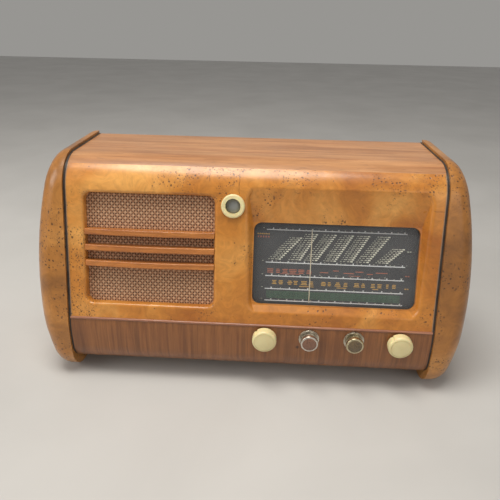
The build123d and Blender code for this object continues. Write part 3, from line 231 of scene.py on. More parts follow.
def burl(name, light, middle, deep, bud_cover, cracks=(), joints=(), wear_and_highlight_from=None):
    """Polished burl with clusters of buds. cracks run upright and joints level, each as (at, from, to).

    wear_and_highlight_from is the distance from the middle past which the edge turns grey, for rubbed-off
    polish and a painted highlight along the rounded edge.
    """
    f = Finish(name, Coat_Weight=0.30, Coat_Roughness=0.18)
    warp = f.add("TexNoise", {"Vector": f.place, "Scale": 7.0, "Detail": 3.0}).outputs["Color"]
    place = f.vector("ADD", f.place, f.vector("MULTIPLY", warp, (0.055, 0.055, 0.055)))
    cloud = f.noise(place, 9.0, 5.0, 0.6)
    figure = f.noise(place, 46.0, 7.0, 2.4, 0.62)
    colour = f.ramp(cloud, (0.32, deep), (0.50, middle), (0.68, light))
    colour = f.mix(0.55, colour, f.ramp(figure, (0.30, 0.42), (0.52, 0.72), (0.72, 0.95)), "MULTIPLY")
    colour = f.mix(1.0, colour, (1.42, 1.40, 1.36), "MULTIPLY")
    veins = f.ramp(f.noise(place, 30.0, 8.0, 1.8, 0.7), (0.485, 0.0), (0.50, 1.0), (0.515, 0.0))
    cluster = f.ramp(f.noise(f.place, 17.0, 2.5, 0.4), (bud_cover, 0.0), (bud_cover + 0.07, 1.0))
    colour = f.mix(f.times(veins, f.times(cluster, 0.45)), colour, (0.20, 0.085, 0.03))
    buds = None
    for size, hidden in BUDS:
        cell = f.add("TexVoronoi", {"Vector": place, "Scale": size})
        spot = f.ramp(cell.outputs["Distance"], (0.20, 1.0), (0.34, 0.0))
        chosen = f.add("SeparateXYZ", {"Vector": cell.outputs["Color"]}).outputs["X"]
        buds = f.larger(buds, f.times(spot, f.maths("GREATER_THAN", chosen, hidden)))
    buds = f.times(buds, cluster)
    stray = f.add("TexVoronoi", {"Vector": place, "Scale": 95.0})
    chosen = f.add("SeparateXYZ", {"Vector": stray.outputs["Color"]}).outputs["Y"]
    alone = f.ramp(stray.outputs["Distance"], (0.07, 1.0), (0.13, 0.0))
    alone = f.times(alone, f.maths("GREATER_THAN", chosen, 0.72))
    buds = f.larger(buds, f.times(alone, 0.8))
    colour = f.mix(f.times(buds, 0.86), colour, (0.045, 0.018, 0.008))
    wobble = f.times(f.maths("SUBTRACT", f.noise(f.place, 120.0, 3.0), 0.5), WANDER)
    x, z = f.axis("X"), f.axis("Z")
    lines = None
    for at, low, high in cracks:
        line = f.near(f.maths("ADD", x, wobble), at, CRACK)
        lines = f.larger(lines, f.times(line, f.near(z, (low + high) / 2, (high - low) / 2)))
    for at, left, right in joints:
        line = f.near(f.maths("ADD", z, f.times(wobble, 0.3)), at, JOINT)
        lines = f.larger(lines, f.times(line, f.near(x, (left + right) / 2, (right - left) / 2)))
    if lines is not None:
        colour = f.mix(f.times(lines, 0.8), colour, (0.06, 0.025, 0.012))
        buds = f.larger(buds, lines)
    # Grey strip at the edges by the cheeks: rubbed-off polish together with a painted highlight of the
    # rounded edge.
    if wear_and_highlight_from is not None:
        edge = f.times(f.maths("SUBTRACT", f.maths("ABSOLUTE", x), wear_and_highlight_from), 550.0)
        edge = f.ramp(f.maths("ADD", edge, f.times(wobble, 180.0)), (0.25, 0.0), (0.75, 0.75))
        colour = f.mix(edge, colour, (0.230, 0.180, 0.135))
    rough = f.ramp(f.noise(f.place, 26.0, 4.0), (0.3, 0.27), (0.7, 0.42))
    height = f.maths("SUBTRACT", f.times(figure, 0.25), buds)
    return f.show(colour, rough, height, 0.00025, 0.7)


# %% Mix the two burls
front_burl = burl("front_burl", (0.58, 0.285, 0.072), (0.44, 0.172, 0.026), (0.31, 0.100, 0.012), 0.53,
                  cracks=((-0.0200, 0.302, 0.332), (-0.0640, 0.318, 0.333)),
                  joints=((0.2870, 0.262, 0.278),), wear_and_highlight_from=0.2757)
cheek_burl = burl("cheek_burl", (0.46, 0.215, 0.055), (0.33, 0.135, 0.026), (0.180, 0.074, 0.018), 0.49)
print("mixed", front_burl.name, "and", cheek_burl.name)

# %% [markdown]
# ## Straight-grained walnut, and the slats
# The top is plain walnut with its grain running along the cabinet, and the lower band is the same wood
# set upright and stained darker. Stretching noise along one axis draws the fibres; a slower layer adds
# stripes.

# %% A recipe for straight grain


def walnut(name, along, light, middle, dark, gloss, knots=()):
    """Polished straight grain. along scales the pattern on each axis: small runs with the grain."""
    f = Finish(name, Coat_Weight=0.30, Coat_Roughness=0.2)
    place = f.stretch(along)
    drift = f.noise(place, 0.35, 3.0, 0.5)
    stripes = f.noise(place, 1.0, 6.0, 0.8, 0.55)
    fibres = f.noise(place, 4.5, 5.0, 0.3, 0.6)
    colour = f.ramp(stripes, (0.30, dark), (0.50, middle), (0.70, light))
    colour = f.mix(0.45, colour, f.ramp(fibres, (0.32, 0.50), (0.66, 1.0)), "MULTIPLY")
    colour = f.mix(0.5, colour, f.ramp(drift, (0.35, 0.66), (0.65, 1.0)), "MULTIPLY")
    colour = f.mix(1.0, colour, (1.30, 1.28, 1.26), "MULTIPLY")
    pores = f.ramp(f.noise(place, 9.0, 2.0, 0.0), (0.62, 0.0), (0.70, 1.0))
    colour = f.mix(f.times(pores, 0.4), colour, (0.05, 0.02, 0.012))
    for at, size in knots:
        away = f.add("VectorMath", {0: f.place, 1: at}, operation="DISTANCE").outputs["Value"]
        spot = f.ramp(f.maths("DIVIDE", away, size), (0.35, 1.0), (1.0, 0.0))
        colour = f.mix(f.times(spot, 0.85), colour, (0.035, 0.014, 0.010))
    rough = f.ramp(f.noise(f.place, 18.0, 3.0), (0.3, gloss), (0.7, gloss + 0.14))
    return f.show(colour, rough, f.maths("SUBTRACT", fibres, pores), 0.00012, 0.6)


# %% Mix the straight-grained woods
top_walnut = walnut("top_walnut", (5, 75, 75), (0.50, 0.255, 0.115), (0.42, 0.198, 0.083),
                    (0.31, 0.132, 0.054), 0.30)
band_walnut = walnut("band_walnut", (170, 60, 5), (0.275, 0.108, 0.032), (0.215, 0.080, 0.023),
                     (0.145, 0.050, 0.015), 0.34, knots=(((0.0760, -0.1075, 0.0740), 0.0035),))
bead_walnut = walnut("bead_walnut", (6, 120, 120), (0.36, 0.165, 0.095), (0.27, 0.115, 0.065),
                     (0.18, 0.07, 0.04), 0.26)
slat_wood = walnut("slat_wood", (7, 110, 110), (0.50, 0.195, 0.048), (0.40, 0.142, 0.032),
                   (0.28, 0.090, 0.022), 0.30)
plywood = walnut("plywood", (8, 70, 70), (0.62, 0.44, 0.27), (0.54, 0.36, 0.20), (0.42, 0.27, 0.14), 0.62)
print("mixed", top_walnut.name, band_walnut.name, bead_walnut.name, slat_wood.name, plywood.name)

# %% [markdown]
# ## Black strips, resin, metal and felt
# The strips between the cabinet and its cheeks are ebonised wood, rubbed grey in places. The knobs and
# the eye's ring are cast cream resin, a little cloudy. None of these has a figure to draw, but nothing
# real is one flat colour either, so a single recipe gives each two close shades, an uneven shine and a
# trace of relief.

# %% A recipe for quiet finishes


def plain(name, first, second, scale=30.0, low=0.3, high=0.45, metallic=0.0, relief=0.00004, **sockets):
    """A quiet finish: two close shades, an uneven shine and a trace of relief."""
    f = Finish(name, metallic=metallic, **sockets)
    cloud = f.noise(f.place, scale, 5.0, 0.4)
    colour = f.ramp(cloud, (0.30, first), (0.70, second))
    rough = f.ramp(f.noise(f.place, scale * 2.3, 4.0), (0.3, low), (0.7, high))
    return f.show(colour, rough, f.noise(f.place, scale * 20, 3.0), relief, 0.6)


# %% Mix the quiet finishes
ebonised = plain("ebonised", (0.016, 0.013, 0.012), (0.055, 0.045, 0.040), 60.0, 0.35, 0.55)
cream_resin = plain("cream_resin", (0.68, 0.58, 0.30), (0.78, 0.68, 0.38), 40.0, 0.28, 0.40,
                    Subsurface_Weight=0.12, Subsurface_Scale=0.004)
felt = plain("felt", (0.030, 0.026, 0.024), (0.070, 0.062, 0.055), 300.0, 0.85, 0.95, relief=0.0004)
bakelite = plain("bakelite", (0.018, 0.014, 0.012), (0.040, 0.030, 0.025), 50.0, 0.28, 0.42)
fibreboard = plain("fibreboard", (0.150, 0.088, 0.050), (0.235, 0.145, 0.085), 140.0, 0.70, 0.85,
                   relief=0.00015)
zinc = plain("zinc", (0.42, 0.42, 0.40), (0.58, 0.58, 0.55), 45.0, 0.32, 0.52, metallic=0.9)
aluminium = plain("aluminium", (0.62, 0.62, 0.61), (0.74, 0.74, 0.73), 45.0, 0.28, 0.42, metallic=0.95)
brass = plain("brass", (0.50, 0.34, 0.13), (0.62, 0.45, 0.19), 60.0, 0.28, 0.42, metallic=0.95)
nickel = plain("nickel", (0.46, 0.42, 0.34), (0.62, 0.58, 0.49), 90.0, 0.20, 0.36, metallic=0.95)
lacquer = plain("lacquer", (0.022, 0.022, 0.022), (0.050, 0.048, 0.046), 60.0, 0.38, 0.52)
cone_paper = plain("cone_paper", (0.045, 0.038, 0.032), (0.085, 0.072, 0.060), 220.0, 0.82, 0.94,
                   relief=0.0003)
braid = plain("braid", (0.50, 0.44, 0.33), (0.66, 0.60, 0.47), 500.0, 0.75, 0.9, relief=0.0002)
valve_glass = plain("valve_glass", (0.10, 0.10, 0.10), (0.22, 0.22, 0.21), 50.0, 0.05, 0.12,
                    Transmission_Weight=0.35)
dial_paint = plain("dial_paint", (0.012, 0.013, 0.014), (0.022, 0.023, 0.025), 25.0, 0.42, 0.60)
pointer_paint = plain("pointer_paint", (0.62, 0.53, 0.36), (0.74, 0.66, 0.48), 80.0, 0.4, 0.5)
eye_grey = plain("eye_grey", (0.205, 0.215, 0.215), (0.265, 0.275, 0.275), 60.0, 0.16, 0.26,
                 relief=0.00001)
print("quiet finishes mixed, from", ebonised.name, "to", eye_grey.name)

# %% [markdown]
# ## The dial's glass
# The pane only shows by its shine and a faint grey haze of dust. Bent light isn't needed for so thin a
# sheet, so a low alpha lets most of it straight through and keeps the printing behind it sharp.

# %% Mix the dial's glass
pane = Finish("pane", Alpha=0.10, IOR=1.5)
wiping = pane.noise(pane.stretch((6, 14, 14)), 3.0, 5.0, 1.0)
pane_glass = pane.show(pane.ramp(wiping, (0.3, (0.30, 0.31, 0.33)), (0.7, (0.42, 0.43, 0.45))),
                       pane.ramp(wiping, (0.4, 0.04), (0.8, 0.16)))
print("mixed", pane_glass.name)

# %% [markdown]
# ## The small knobs
# Each small knob is brown marbled resin held in a bright turned rim. It is one piece here, so its two
# materials are told apart by distance from the knob's axis, and the axis comes from the knob's own box.

# %% Mix the small knobs' finish
RIM_WIDTH = 0.0028


def rimmed_knob(name, node, rim_low, rim_high, brown_low, brown_high):
    """Marbled brown centre in a bright rim, for the knob node of that name."""
    low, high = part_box(node)
    centre = (low + high) / 2
    f = Finish(name, Coat_Weight=0.4, Coat_Roughness=0.08)
    moved = f.vector("SUBTRACT", f.place, (centre.x, 0, centre.z))
    flat = f.vector("MULTIPLY", moved, (1, 0, 1))
    radius = f.add("VectorMath", {0: flat}, operation="LENGTH").outputs["Value"]
    rim = f.maths("GREATER_THAN", radius, (high.x - low.x) / 2 - RIM_WIDTH)
    swirl = f.noise(f.place, 260.0, 4.0, 2.5, 0.6)
    marble = f.ramp(swirl, (0.32, brown_low), (0.52, brown_high), (0.66, brown_low))
    metal = f.ramp(f.noise(f.place, 400.0, 3.0), (0.3, rim_low), (0.7, rim_high))
    f.give(f.shader.inputs["Metallic"], rim)
    return f.show(f.mix(rim, marble, metal), f.ramp(swirl, (0.3, 0.18), (0.7, 0.30)), swirl, 0.00003, 0.5)


tone_finish = rimmed_knob("tone_knob_resin", "tone_knob", (0.52, 0.47, 0.40), (0.66, 0.61, 0.54),
                          (0.060, 0.022, 0.012), (0.26, 0.120, 0.070))
band_finish = rimmed_knob("band_knob_resin", "band_knob", (0.42, 0.36, 0.22), (0.58, 0.50, 0.33),
                          (0.040, 0.026, 0.014), (0.17, 0.115, 0.055))
print("mixed", tone_finish.name, "and", band_finish.name)

# %% [markdown]
# ## Dressing the frame
# Every piece of the frame keeps its shape and only changes its finish. One list says which finish goes on
# which pieces, so nothing is forgotten and pieces of one stuff share one material.

# %% Dress every frame piece
DRESS = {
    top_walnut: ["top_panel"],
    front_burl: ["front_panel"],
    cheek_burl: ["left_cheek", "right_cheek"],
    band_walnut: ["lower_band"],
    bead_walnut: ["band_bead"],
    slat_wood: ["lower_slat", "middle_slat", "upper_slat"],
    plywood: ["side_boards", "bottom_board", "baffle_board"],
    ebonised: ["bead_strips"],
    felt: ["foot_pads"],
    cream_resin: ["volume_knob", "tuning_knob", "eye_bezel"],
    tone_finish: ["tone_knob"],
    band_finish: ["band_knob"],
    nickel: ["knob_rings"],
    eye_grey: ["eye_tube"],
    pane_glass: ["dial_glass"],
    dial_paint: ["dial_backplate"],
    pointer_paint: ["pointer"],
    cone_paper: ["speaker_cone"],
    lacquer: ["speaker_basket", "speaker_magnet", "mains_transformer"],
    valve_glass: ["power_valves", "signal_valves", "dial_lamps"],
    aluminium: ["if_cans", "drive_drum", "capacitor_rotor"],
    brass: ["left_pulley", "right_pulley", "tuning_bush"],
    braid: ["drive_cord"],
    fibreboard: ["rear_cover"],
    bakelite: ["valve_sockets", "voltage_selector", "voltage_cap", "rear_sockets", "mains_inlet"],
    zinc: ["speaker_nuts", "eye_clamp", "dial_clips", "dial_frame", "pointer_rail", "tuning_spindle",
           "capacitor_frame", "chassis_pan", "chassis_bolts", "potentiometers", "band_switch",
           "volume_shaft", "tone_shaft", "band_shaft", "rear_cover_screws"],
}
dressed = set()
for finish, names in DRESS.items():
    for name in names:
        mesh = nodes[name].data
        mesh.materials.clear()
        mesh.materials.append(finish)
        dressed.add(name)
print("dressed", len(dressed), "still bare", sorted(set(nodes) - dressed))

# %% [markdown]
# ## Speaker cloth
# The cloth is a coarse basket weave: thick threads go over and under each other and leave small holes,
# darkened as painted shade for the space seen through them. It could be thousands of separate threads, but
# at this size a fine grid pushed in at the holes looks the same and stays one light sheet. A UV map
# counted in holes carries the colour, so colour and relief stay in step.

# %% Measure the speaker cloth
LEAN = radians(13.6)        # the cabinet's front leans back by this angle
CLOTH_THICKNESS = 0.0008
FRONT_UP = Vector((0, sin(LEAN), cos(LEAN)))
FRONT_OUT = Vector((0, -cos(LEAN), sin(LEAN)))
PITCH_X, PITCH_UP = 0.0041, 0.0044    # spacing of the holes across and up
WEAVE_RELIEF = 0.00045
CLOTH_OUT = 0.0002          # the weave stands this far in front of the middle of its box
FINE = 0.00105              # spacing of the cloth's grid
cloth_low, cloth_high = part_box("grille_cloth")
cloth_centre = (cloth_low + cloth_high) / 2
cloth_width = cloth_high.x - cloth_low.x
cloth_height = (cloth_high.z - cloth_low.z) / cos(LEAN)
cloth_height -= CLOTH_THICKNESS * sin(LEAN) / cos(LEAN)
columns = round(cloth_width / FINE)
rows = round(cloth_height / FINE)
MM = 1000                   # millimetres in a metre
print("cloth", columns, "by", rows, "cells,", round(cloth_width * MM), "x", round(cloth_height * MM), "mm")

# %% Weave it


def weave_height(u, v):
    """Height of the weave, from 0 at a hole to 1 on a crossing, at a place counted in holes."""
    return 1 - (cos(pi * u) * cos(pi * v)) ** 4


mesh = bpy.data.meshes.new("speaker_weave")
verts, uvs = [], []
for j in range(rows + 1):
    for i in range(columns + 1):
        across = (i / columns - 0.5) * cloth_width
        up = (j / rows - 0.5) * cloth_height
        u, v = across / PITCH_X, up / PITCH_UP
        lift = CLOTH_OUT + WEAVE_RELIEF * (weave_height(u, v) - 0.5)
        verts.append(cloth_centre + Vector((across, 0, 0)) + FRONT_UP * up + FRONT_OUT * lift)
        uvs.append((u, v))
faces = []
for j in range(rows):
    for i in range(columns):
        corner = j * (columns + 1) + i
        faces.append((corner, corner + 1, corner + columns + 2, corner + columns + 1))
mesh.from_pydata([tuple(p) for p in verts], [], faces)
layer = mesh.uv_layers.new(name="threads")
for loop in mesh.loops:
    layer.data[loop.index].uv = uvs[loop.vertex_index]
mesh.polygons.foreach_set("use_smooth", [True] * len(mesh.polygons))
weave = bpy.data.objects.new("speaker_weave", mesh)
SCENE.collection.objects.link(weave)
print("woven", len(faces), "cells")

# %% [markdown]
# ### The colour of the threads
# Holes are where the two waves of the weave meet, so the same waves that shaped the sheet darken them, as
# painted shade for the space behind the cloth. A slow wander in the waves keeps the rows from looking
# machine drawn, and fray and dust break up the colour.

# %% Colour the threads
cloth = Finish("speaker_cloth", Sheen_Weight=0.25, Sheen_Roughness=0.5)
threads = cloth.add("UVMap", uv_map="threads").outputs["UV"]
split = cloth.add("SeparateXYZ", {"Vector": threads})
fray = cloth.noise(cloth.place, 900.0, 3.0)
drift = cloth.times(cloth.maths("SUBTRACT", cloth.noise(cloth.place, 260.0, 2.0), 0.5), 0.55)
wave_u = cloth.maths("COSINE", cloth.times(cloth.maths("ADD", split.outputs["X"], drift), pi))
wave_v = cloth.maths("COSINE", cloth.times(cloth.maths("SUBTRACT", split.outputs["Y"], drift), pi))
cross = cloth.maths("POWER", cloth.maths("ABSOLUTE", cloth.times(wave_u, wave_v)), 2.0)
hole_shade = cloth.ramp(cross, (0.30, 0.0), (0.62, 1.0))
over = cloth.times(cloth.maths("SINE", cloth.times(split.outputs["X"], pi)),
                 cloth.maths("SINE", cloth.times(split.outputs["Y"], pi)))
dust = cloth.noise(cloth.place, 22.0, 4.0)
tone = cloth.ramp(cloth.maths("ADD", cloth.times(over, 0.5), 0.5),
                  (0.10, (0.36, 0.175, 0.088)), (0.50, (0.46, 0.245, 0.130)), (0.92, (0.66, 0.410, 0.250)))
tone = cloth.mix(0.45, tone, cloth.ramp(fray, (0.3, 0.50), (0.7, 1.0)), "MULTIPLY")
tone = cloth.mix(0.30, tone, cloth.ramp(dust, (0.3, 0.72), (0.7, 1.0)), "MULTIPLY")
# Painted shade: the holes turn near-black for the dark space seen through the cloth.
tone = cloth.mix(cloth.times(hole_shade, 0.95), tone, (0.050, 0.018, 0.008))
fuzz = cloth.maths("SUBTRACT", fray, cross)
mesh.materials.append(cloth.show(tone, cloth.ramp(fray, (0.3, 0.75), (0.7, 0.92)), fuzz, 0.0003, 0.6))
print("threads coloured")

# %% Stretch the cloth over its board
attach(weave, "cabinet")
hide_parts("grille_cloth")
print("cloth stretched over the baffle board, on", len(mesh.vertices), "points")

# %% [markdown]
# ## The printed dial
# Five tuning scales cross the dial: a white line with ticks each, wave-band stations in slanted columns
# between the first two, then a red row, an amber row and a green band. Names are left as plain bars. Each
# row repeats one mark. They could be copied by hand, but Geometry Nodes lay them out from a few named
# sizes: a line of points, a small block on each, its length varied by a seeded random value.

# %% Build the tree that prints a row of marks
PRINT_DEEP = 0.00016        # thickness of the printed marks


def row_tree():
    """Geometry Nodes tree: a row of flat blocks with varied lengths."""
    tree = bpy.data.node_groups.new("printed_row", "GeometryNodeTree")
    face = tree.interface
    face.new_socket("Geometry", in_out="OUTPUT", socket_type="NodeSocketGeometry")
    for label, kind in (("Count", "Int"), ("Start", "Vector"), ("Step", "Vector"), ("Size", "Vector"),
                        ("Shortest", "Float"), ("Seed", "Int"), ("Ink", "Material")):
        face.new_socket(label, in_out="INPUT", socket_type="NodeSocket" + kind)
    new = tree.nodes.new
    given = new("NodeGroupInput")
    out = new("NodeGroupOutput")
    line = new("GeometryNodeMeshLine")
    line.mode = "OFFSET"
    block = new("GeometryNodeMeshCube")
    spread = new("FunctionNodeRandomValue")
    spread.data_type = "FLOAT"
    scale = new("ShaderNodeCombineXYZ")
    place = new("GeometryNodeInstanceOnPoints")
    real = new("GeometryNodeRealizeInstances")
    ink = new("GeometryNodeSetMaterial")
    join = tree.links.new
    join(given.outputs["Count"], line.inputs["Count"])
    join(given.outputs["Start"], line.inputs["Start Location"])
    join(given.outputs["Step"], line.inputs["Offset"])
    join(given.outputs["Size"], block.inputs["Size"])
    ends = {socket.name: socket for socket in spread.inputs if socket.type == "VALUE"}
    join(given.outputs["Shortest"], ends["Min"])
    ends["Max"].default_value = 1.0
    join(given.outputs["Seed"], spread.inputs["Seed"])
    length = next(socket for socket in spread.outputs if socket.type == "VALUE")
    join(length, scale.inputs["X"])
    scale.inputs["Y"].default_value = 1.0
    scale.inputs["Z"].default_value = 1.0
    join(line.outputs["Mesh"], place.inputs["Points"])
    join(block.outputs["Mesh"], place.inputs["Instance"])
    join(scale.outputs["Vector"], place.inputs["Scale"])
    join(place.outputs["Instances"], real.inputs["Geometry"])
    join(real.outputs["Geometry"], ink.inputs["Geometry"])
    join(given.outputs["Ink"], ink.inputs["Material"])
    join(ink.outputs["Geometry"], out.inputs["Geometry"])
    return tree


ROW = row_tree()
SOCKETS = {item.name: item.identifier for item in ROW.interface.items_tree if item.in_out == "INPUT"}
print("row tree inputs", sorted(SOCKETS))

# %% [markdown]
# ### Inks
# The dial is printed in flat inks: white and cream for scales and stations, then a colour for each band.
# They use the quiet recipe, with a fine grain like that of the silk screen they are printed through.

# %% Mix the inks
white_ink = plain("white_ink", (0.78, 0.80, 0.82), (0.92, 0.94, 0.96), 300.0, 0.5, 0.6)
grey_ink = plain("grey_ink", (0.44, 0.44, 0.34), (0.62, 0.62, 0.50), 300.0, 0.5, 0.6)
cream_ink = plain("cream_ink", (0.80, 0.80, 0.64), (0.94, 0.94, 0.80), 300.0, 0.5, 0.6)
red_ink = plain("red_ink", (0.36, 0.085, 0.035), (0.54, 0.150, 0.065), 260.0, 0.5, 0.6)
amber_ink = plain("amber_ink", (0.50, 0.26, 0.030), (0.72, 0.42, 0.060), 260.0, 0.5, 0.6)
green_ink = plain("green_ink", (0.014, 0.052, 0.022), (0.024, 0.088, 0.036), 200.0, 0.5, 0.6)
# Near-black painted shade, for the strip above the plate.
painted_shade_ink = plain("painted_shade_ink", (0.012, 0.012, 0.013), (0.020, 0.020, 0.021), 60.0, 0.4, 0.5)
leaf_ink = plain("leaf_ink", (0.040, 0.130, 0.060), (0.070, 0.190, 0.090), 260.0, 0.5, 0.6)
print("inks mixed, from", white_ink.name, "to", leaf_ink.name)

# %% [markdown]
# ### The plate
# The marks are laid out flat in millimetres, with the middle of the dial as zero, because that is how a
# dial is drawn. One matrix then sets the whole sheet of printing on the leaning plate.

# %% Find the plate
DIAL_SET_BACK, DIAL_RISE = 36.5, 120.0    # the dial leans back by this much over its height
PLATE_HALF = 0.0005         # half the plate's thickness
DIAL_LEAN = atan2(DIAL_SET_BACK, DIAL_RISE)
plate_low, plate_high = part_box("dial_backplate")
DIAL_UP = Vector((0, sin(DIAL_LEAN), cos(DIAL_LEAN)))
DIAL_OUT = Vector((0, -cos(DIAL_LEAN), sin(DIAL_LEAN)))
plate_face = (plate_low + plate_high) / 2 + DIAL_OUT * PLATE_HALF
PLATE_RISE = 0.003          # the plate's middle lies this far below the dial's middle
dial_origin = plate_face + DIAL_UP * PLATE_RISE
on_plate = Matrix.Translation(dial_origin) @ Matrix((
    (1, DIAL_UP.x, DIAL_OUT.x, 0),
    (0, DIAL_UP.y, DIAL_OUT.y, 0),
    (0, DIAL_UP.z, DIAL_OUT.z, 0),
    (0, 0, 0, 1)))
print("plate leans", round(degrees(DIAL_LEAN), 1), "degrees")

# %% Helpers that print a row and a number
inks = []
printing = bmesh.new()


def ink_index(material):
    """Slot number of an ink on the printed piece."""
    if material not in inks:
        inks.append(material)
    return inks.index(material)


def take(mesh_made, material):
    """Adds a finished mesh, in plate coordinates, to the printing."""
    start = len(printing.faces)
    printing.from_mesh(mesh_made)
    printing.faces.ensure_lookup_table()
    for number in range(start, len(printing.faces)):
        printing.faces[number].material_index = ink_index(material)
    bpy.data.meshes.remove(mesh_made)


def print_row(count, start, step, size, material, shortest=1.0, seed=0, out=0.0):
    """One row of marks, in millimetres: x to the right, y up the dial, out towards the viewer."""
    holder = bpy.data.objects.new("row", bpy.data.meshes.new("row"))
    SCENE.collection.objects.link(holder)
    maker = holder.modifiers.new("row", "NODES")
    maker.node_group = ROW
    values = {"Count": count, "Start": (start[0] / MM, start[1] / MM, out / MM + PRINT_DEEP / 2),
              "Step": (step[0] / MM, step[1] / MM, 0.0), "Size": (size[0] / MM, size[1] / MM, PRINT_DEEP),
              "Shortest": shortest, "Seed": seed, "Ink": material}
    for label, value in values.items():
        maker[SOCKETS[label]] = value
    ready = holder.evaluated_get(bpy.context.evaluated_depsgraph_get())
    take(bpy.data.meshes.new_from_object(ready), material)
    bpy.data.objects.remove(holder)


def print_number(number, x, y, height, material):
    """A number, in millimetres on the plate."""
    curve = bpy.data.curves.new("figures", "FONT")
    curve.body = str(number)
    curve.size = height / MM
    curve.align_x = "CENTER"
    curve.resolution_u = 2
    holder = bpy.data.objects.new("figures", curve)
    SCENE.collection.objects.link(holder)
    ready = holder.evaluated_get(bpy.context.evaluated_depsgraph_get())
    flat = bpy.data.meshes.new_from_object(ready)
    flat.transform(Matrix.Translation((x / MM, y / MM, PRINT_DEEP)))
    take(flat, material)
    bpy.data.objects.remove(holder)


print("printing with", ROW.name)

# %% [markdown]
# ### Scales and stations
# Each scale is a white line with light and heavy ticks. Between the first two lines the stations climb in
# slanted columns, a bright block where the pointer should stand and its name to the left. Names are bars
# of chance length, which read as small type from arm's length.

# %% Print the five scales
SCALE_LEFT, SCALE_RIGHT = -104.5, 108.5
SCALE_LENGTH = SCALE_RIGHT - SCALE_LEFT
SCALE_MIDDLE = (SCALE_LEFT + SCALE_RIGHT) / 2
SCALES = ((50.8, 21), (0.0, 17), (-21.2, 19), (-41.6, 15), (-60.2, 17))      # height, ticks
TICKS_FROM = SCALE_LEFT + 10
TICKS_LENGTH = SCALE_LENGTH - 14
NUMBERS = 9
for y, ticks in SCALES:
    step = TICKS_LENGTH / (ticks - 1)
    print_row(1, (SCALE_MIDDLE, y), (0, 0), (SCALE_LENGTH, 1.35), white_ink)
    print_row(ticks, (TICKS_FROM, y + 1.3), (step, 0), (1.2, 1.9), grey_ink)
    print_row((ticks + 1) // 2, (TICKS_FROM, y + 1.5), (step * 2, 0), (1.9, 2.6), white_ink)
    print_row(1, (SCALE_LEFT - 4.5, y + 2.4), (0, 0), (2.4, 0.7), grey_ink)
for place in range(NUMBERS):
    x = TICKS_FROM + place * TICKS_LENGTH / (NUMBERS - 1)
    print_number(20 + 5 * place, x + 6, SCALES[1][0] + 1.6, 2.4, grey_ink)
    print_number(200 + 50 * place, x, SCALES[2][0] + 3.0, 2.2, grey_ink)
print("printed", len(SCALES), "scales")

# %% Print the slanted station columns
COLUMNS = ((-83.0, -52.0, 12), (-52.0, -28.0, 14), (-27.0, 0.5, 14), (1.5, 26.5, 14),
           (27.0, 51.0, 14), (51.5, 81.5, 14), (81.0, 104.5, 9))    # bottom x, top x, stations
COLUMN_FOOT = 5.5
ROW_PITCH, SHORT_ROW_PITCH = 3.05, 2.7
for number, (left, right, count) in enumerate(COLUMNS):
    climb = ((right - left) / (count - 1), SHORT_ROW_PITCH if count < 10 else ROW_PITCH)
    print_row(count, (left, COLUMN_FOOT), climb, (3.7, 1.7), cream_ink)
    print_row(count, (left - 5.0, COLUMN_FOOT), climb, (5.0, 1.25), grey_ink, 0.5, 31 + number)
    print_row(count, (left - 11.2, COLUMN_FOOT), climb, (6.0, 1.0), grey_ink, 0.45, 11 + number)
    print_row(count, (left - 16.4, COLUMN_FOOT), climb, (3.6, 0.9), grey_ink, 0.3, 51 + number)
print("printed", sum(count for _, _, count in COLUMNS), "stations")

# %% [markdown]
# ### Coloured bands
# Below the stations come a red row, an amber row and a green band. Names stand in blocks of three lines,
# and the main stations are underlined. Places are listed one by one, as on the real dial, where names
# crowd where stations do.

# %% Print the red row
RED_BLOCKS = ((-97, 10), (-85, 7), (-74, 9), (-62, 12), (-49, 11), (-37, 8))        # x, width
RED_NAMES = ((-14, -13.2, 13), (4, -9.8, 9), (24, -13.0, 16), (40, -10.2, 12), (56, -13.0, 9),
             (74, -10.6, 18))                                                       # x, y, width
RED_UNDERLINES = ((-66, -17.4, 30), (33, -16.9, 18))
for x, width in RED_BLOCKS:
    print_row(3, (x, -10.6), (0, -2.5), (width, 1.35), red_ink, 0.62, 100 + x)
for x, y, width in RED_NAMES:
    print_row(1, (x, y), (0, 0), (width, 1.2), red_ink)
for x, y, width in RED_UNDERLINES:
    print_row(1, (x, y), (0, 0), (width, 0.8), red_ink)
print("printed the red row")

# %% Print the amber row
AMBER_BLOCKS = ((-90, 9), (-80, 7), (-66, 8), (-57, 7), (-44, 10), (-33, 8), (-14, 8), (-5, 6), (8, 10),
                (20, 7), (37, 9), (47, 6), (62, 8), (72, 7), (84, 6), (94, 8))
AMBER_UNDERLINES = ((-40, 22), (14, 15), (66, 9))
for x, width in AMBER_BLOCKS:
    print_row(3, (x, -28.6), (0, -2.4), (width, 1.3), amber_ink, 0.5, 200 + x)
for x, width in AMBER_UNDERLINES:
    print_row(1, (x, -36.4), (0, 0), (width, 1.1), amber_ink)
print("printed the amber row")
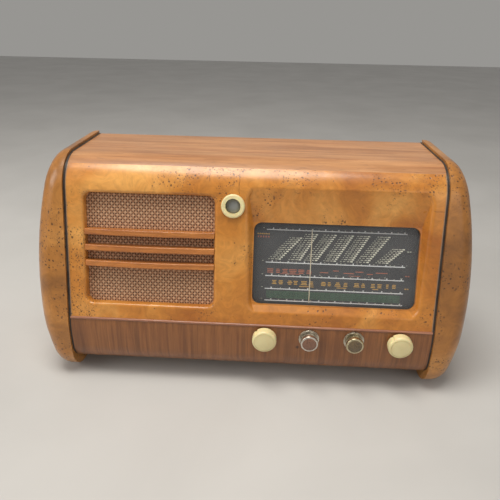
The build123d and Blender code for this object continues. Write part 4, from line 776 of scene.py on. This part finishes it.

# %% Print the green band, the corner marks and the painted shade above the scales
LEAF_ROWS = ((-46.6, 5), (-49.4, 6), (-52.2, 7), (-55.0, 8))      # height, seed
MARGIN_MARKS = ((24, grey_ink), (-14, red_ink), (-34, amber_ink))
GLASS_BACK = 8.7            # the back of the glass, out from the plate
print_row(1, (1.0, -50.6), (0, 0), (206, 12.2), green_ink)
for y, seed in LEAF_ROWS:
    print_row(25, (-95, y), (8.0, 0), (7.4, 1.1), leaf_ink, 0.25, seed)
print_row(6, (-117.5, 44.0), (3.3, 0), (3.0, 1.9), amber_ink, 0.8, 9)
print_row(5, (-117.0, 39.6), (3.9, 0), (2.4, 2.6), red_ink, 0.75, 10)
for y, ink in MARGIN_MARKS:
    print_row(2, (111.5, y), (3.6, 0), (2.6, 1.6), ink)
# The black strip on the back of the glass is painted shade for the shadowed space above the plate, and it
# hides the works there.
print_row(1, (0, 58.6), (0, 0), (246, 7.8), painted_shade_ink, out=GLASS_BACK)
print("printed the green band and the border")

# %% Set the printing on the plate
mesh = bpy.data.meshes.new("dial_printing")
printing.to_mesh(mesh)
printing.free()
mesh.transform(on_plate)
for ink in inks:
    mesh.materials.append(ink)
dial_printing = bpy.data.objects.new("dial_printing", mesh)
SCENE.collection.objects.link(dial_printing)
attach(dial_printing, "cabinet")
print("dial printed with", len(mesh.polygons), "faces and", len(inks), "inks")

# %% [markdown]
# ## The floor
# The set stands on a pale plain floor, with only a breath of tone, so that the cabinet's shadow reads.

# %% Lay the floor
FLOOR = 6.0                 # half the floor's width
floor_mesh = bpy.data.meshes.new("floor")
floor_mesh.from_pydata([(-FLOOR, -FLOOR, 0), (FLOOR, -FLOOR, 0), (FLOOR, FLOOR, 0), (-FLOOR, FLOOR, 0)],
                       [], [(0, 1, 2, 3)])
floor = bpy.data.objects.new("floor", floor_mesh)
SCENE.collection.objects.link(floor)
floor_mesh.materials.append(plain("floor_paint", (0.50, 0.49, 0.48), (0.56, 0.55, 0.54), 3.0, 0.5, 0.6))
print("floor laid,", 2 * FLOOR, "metres wide")

# %% [markdown]
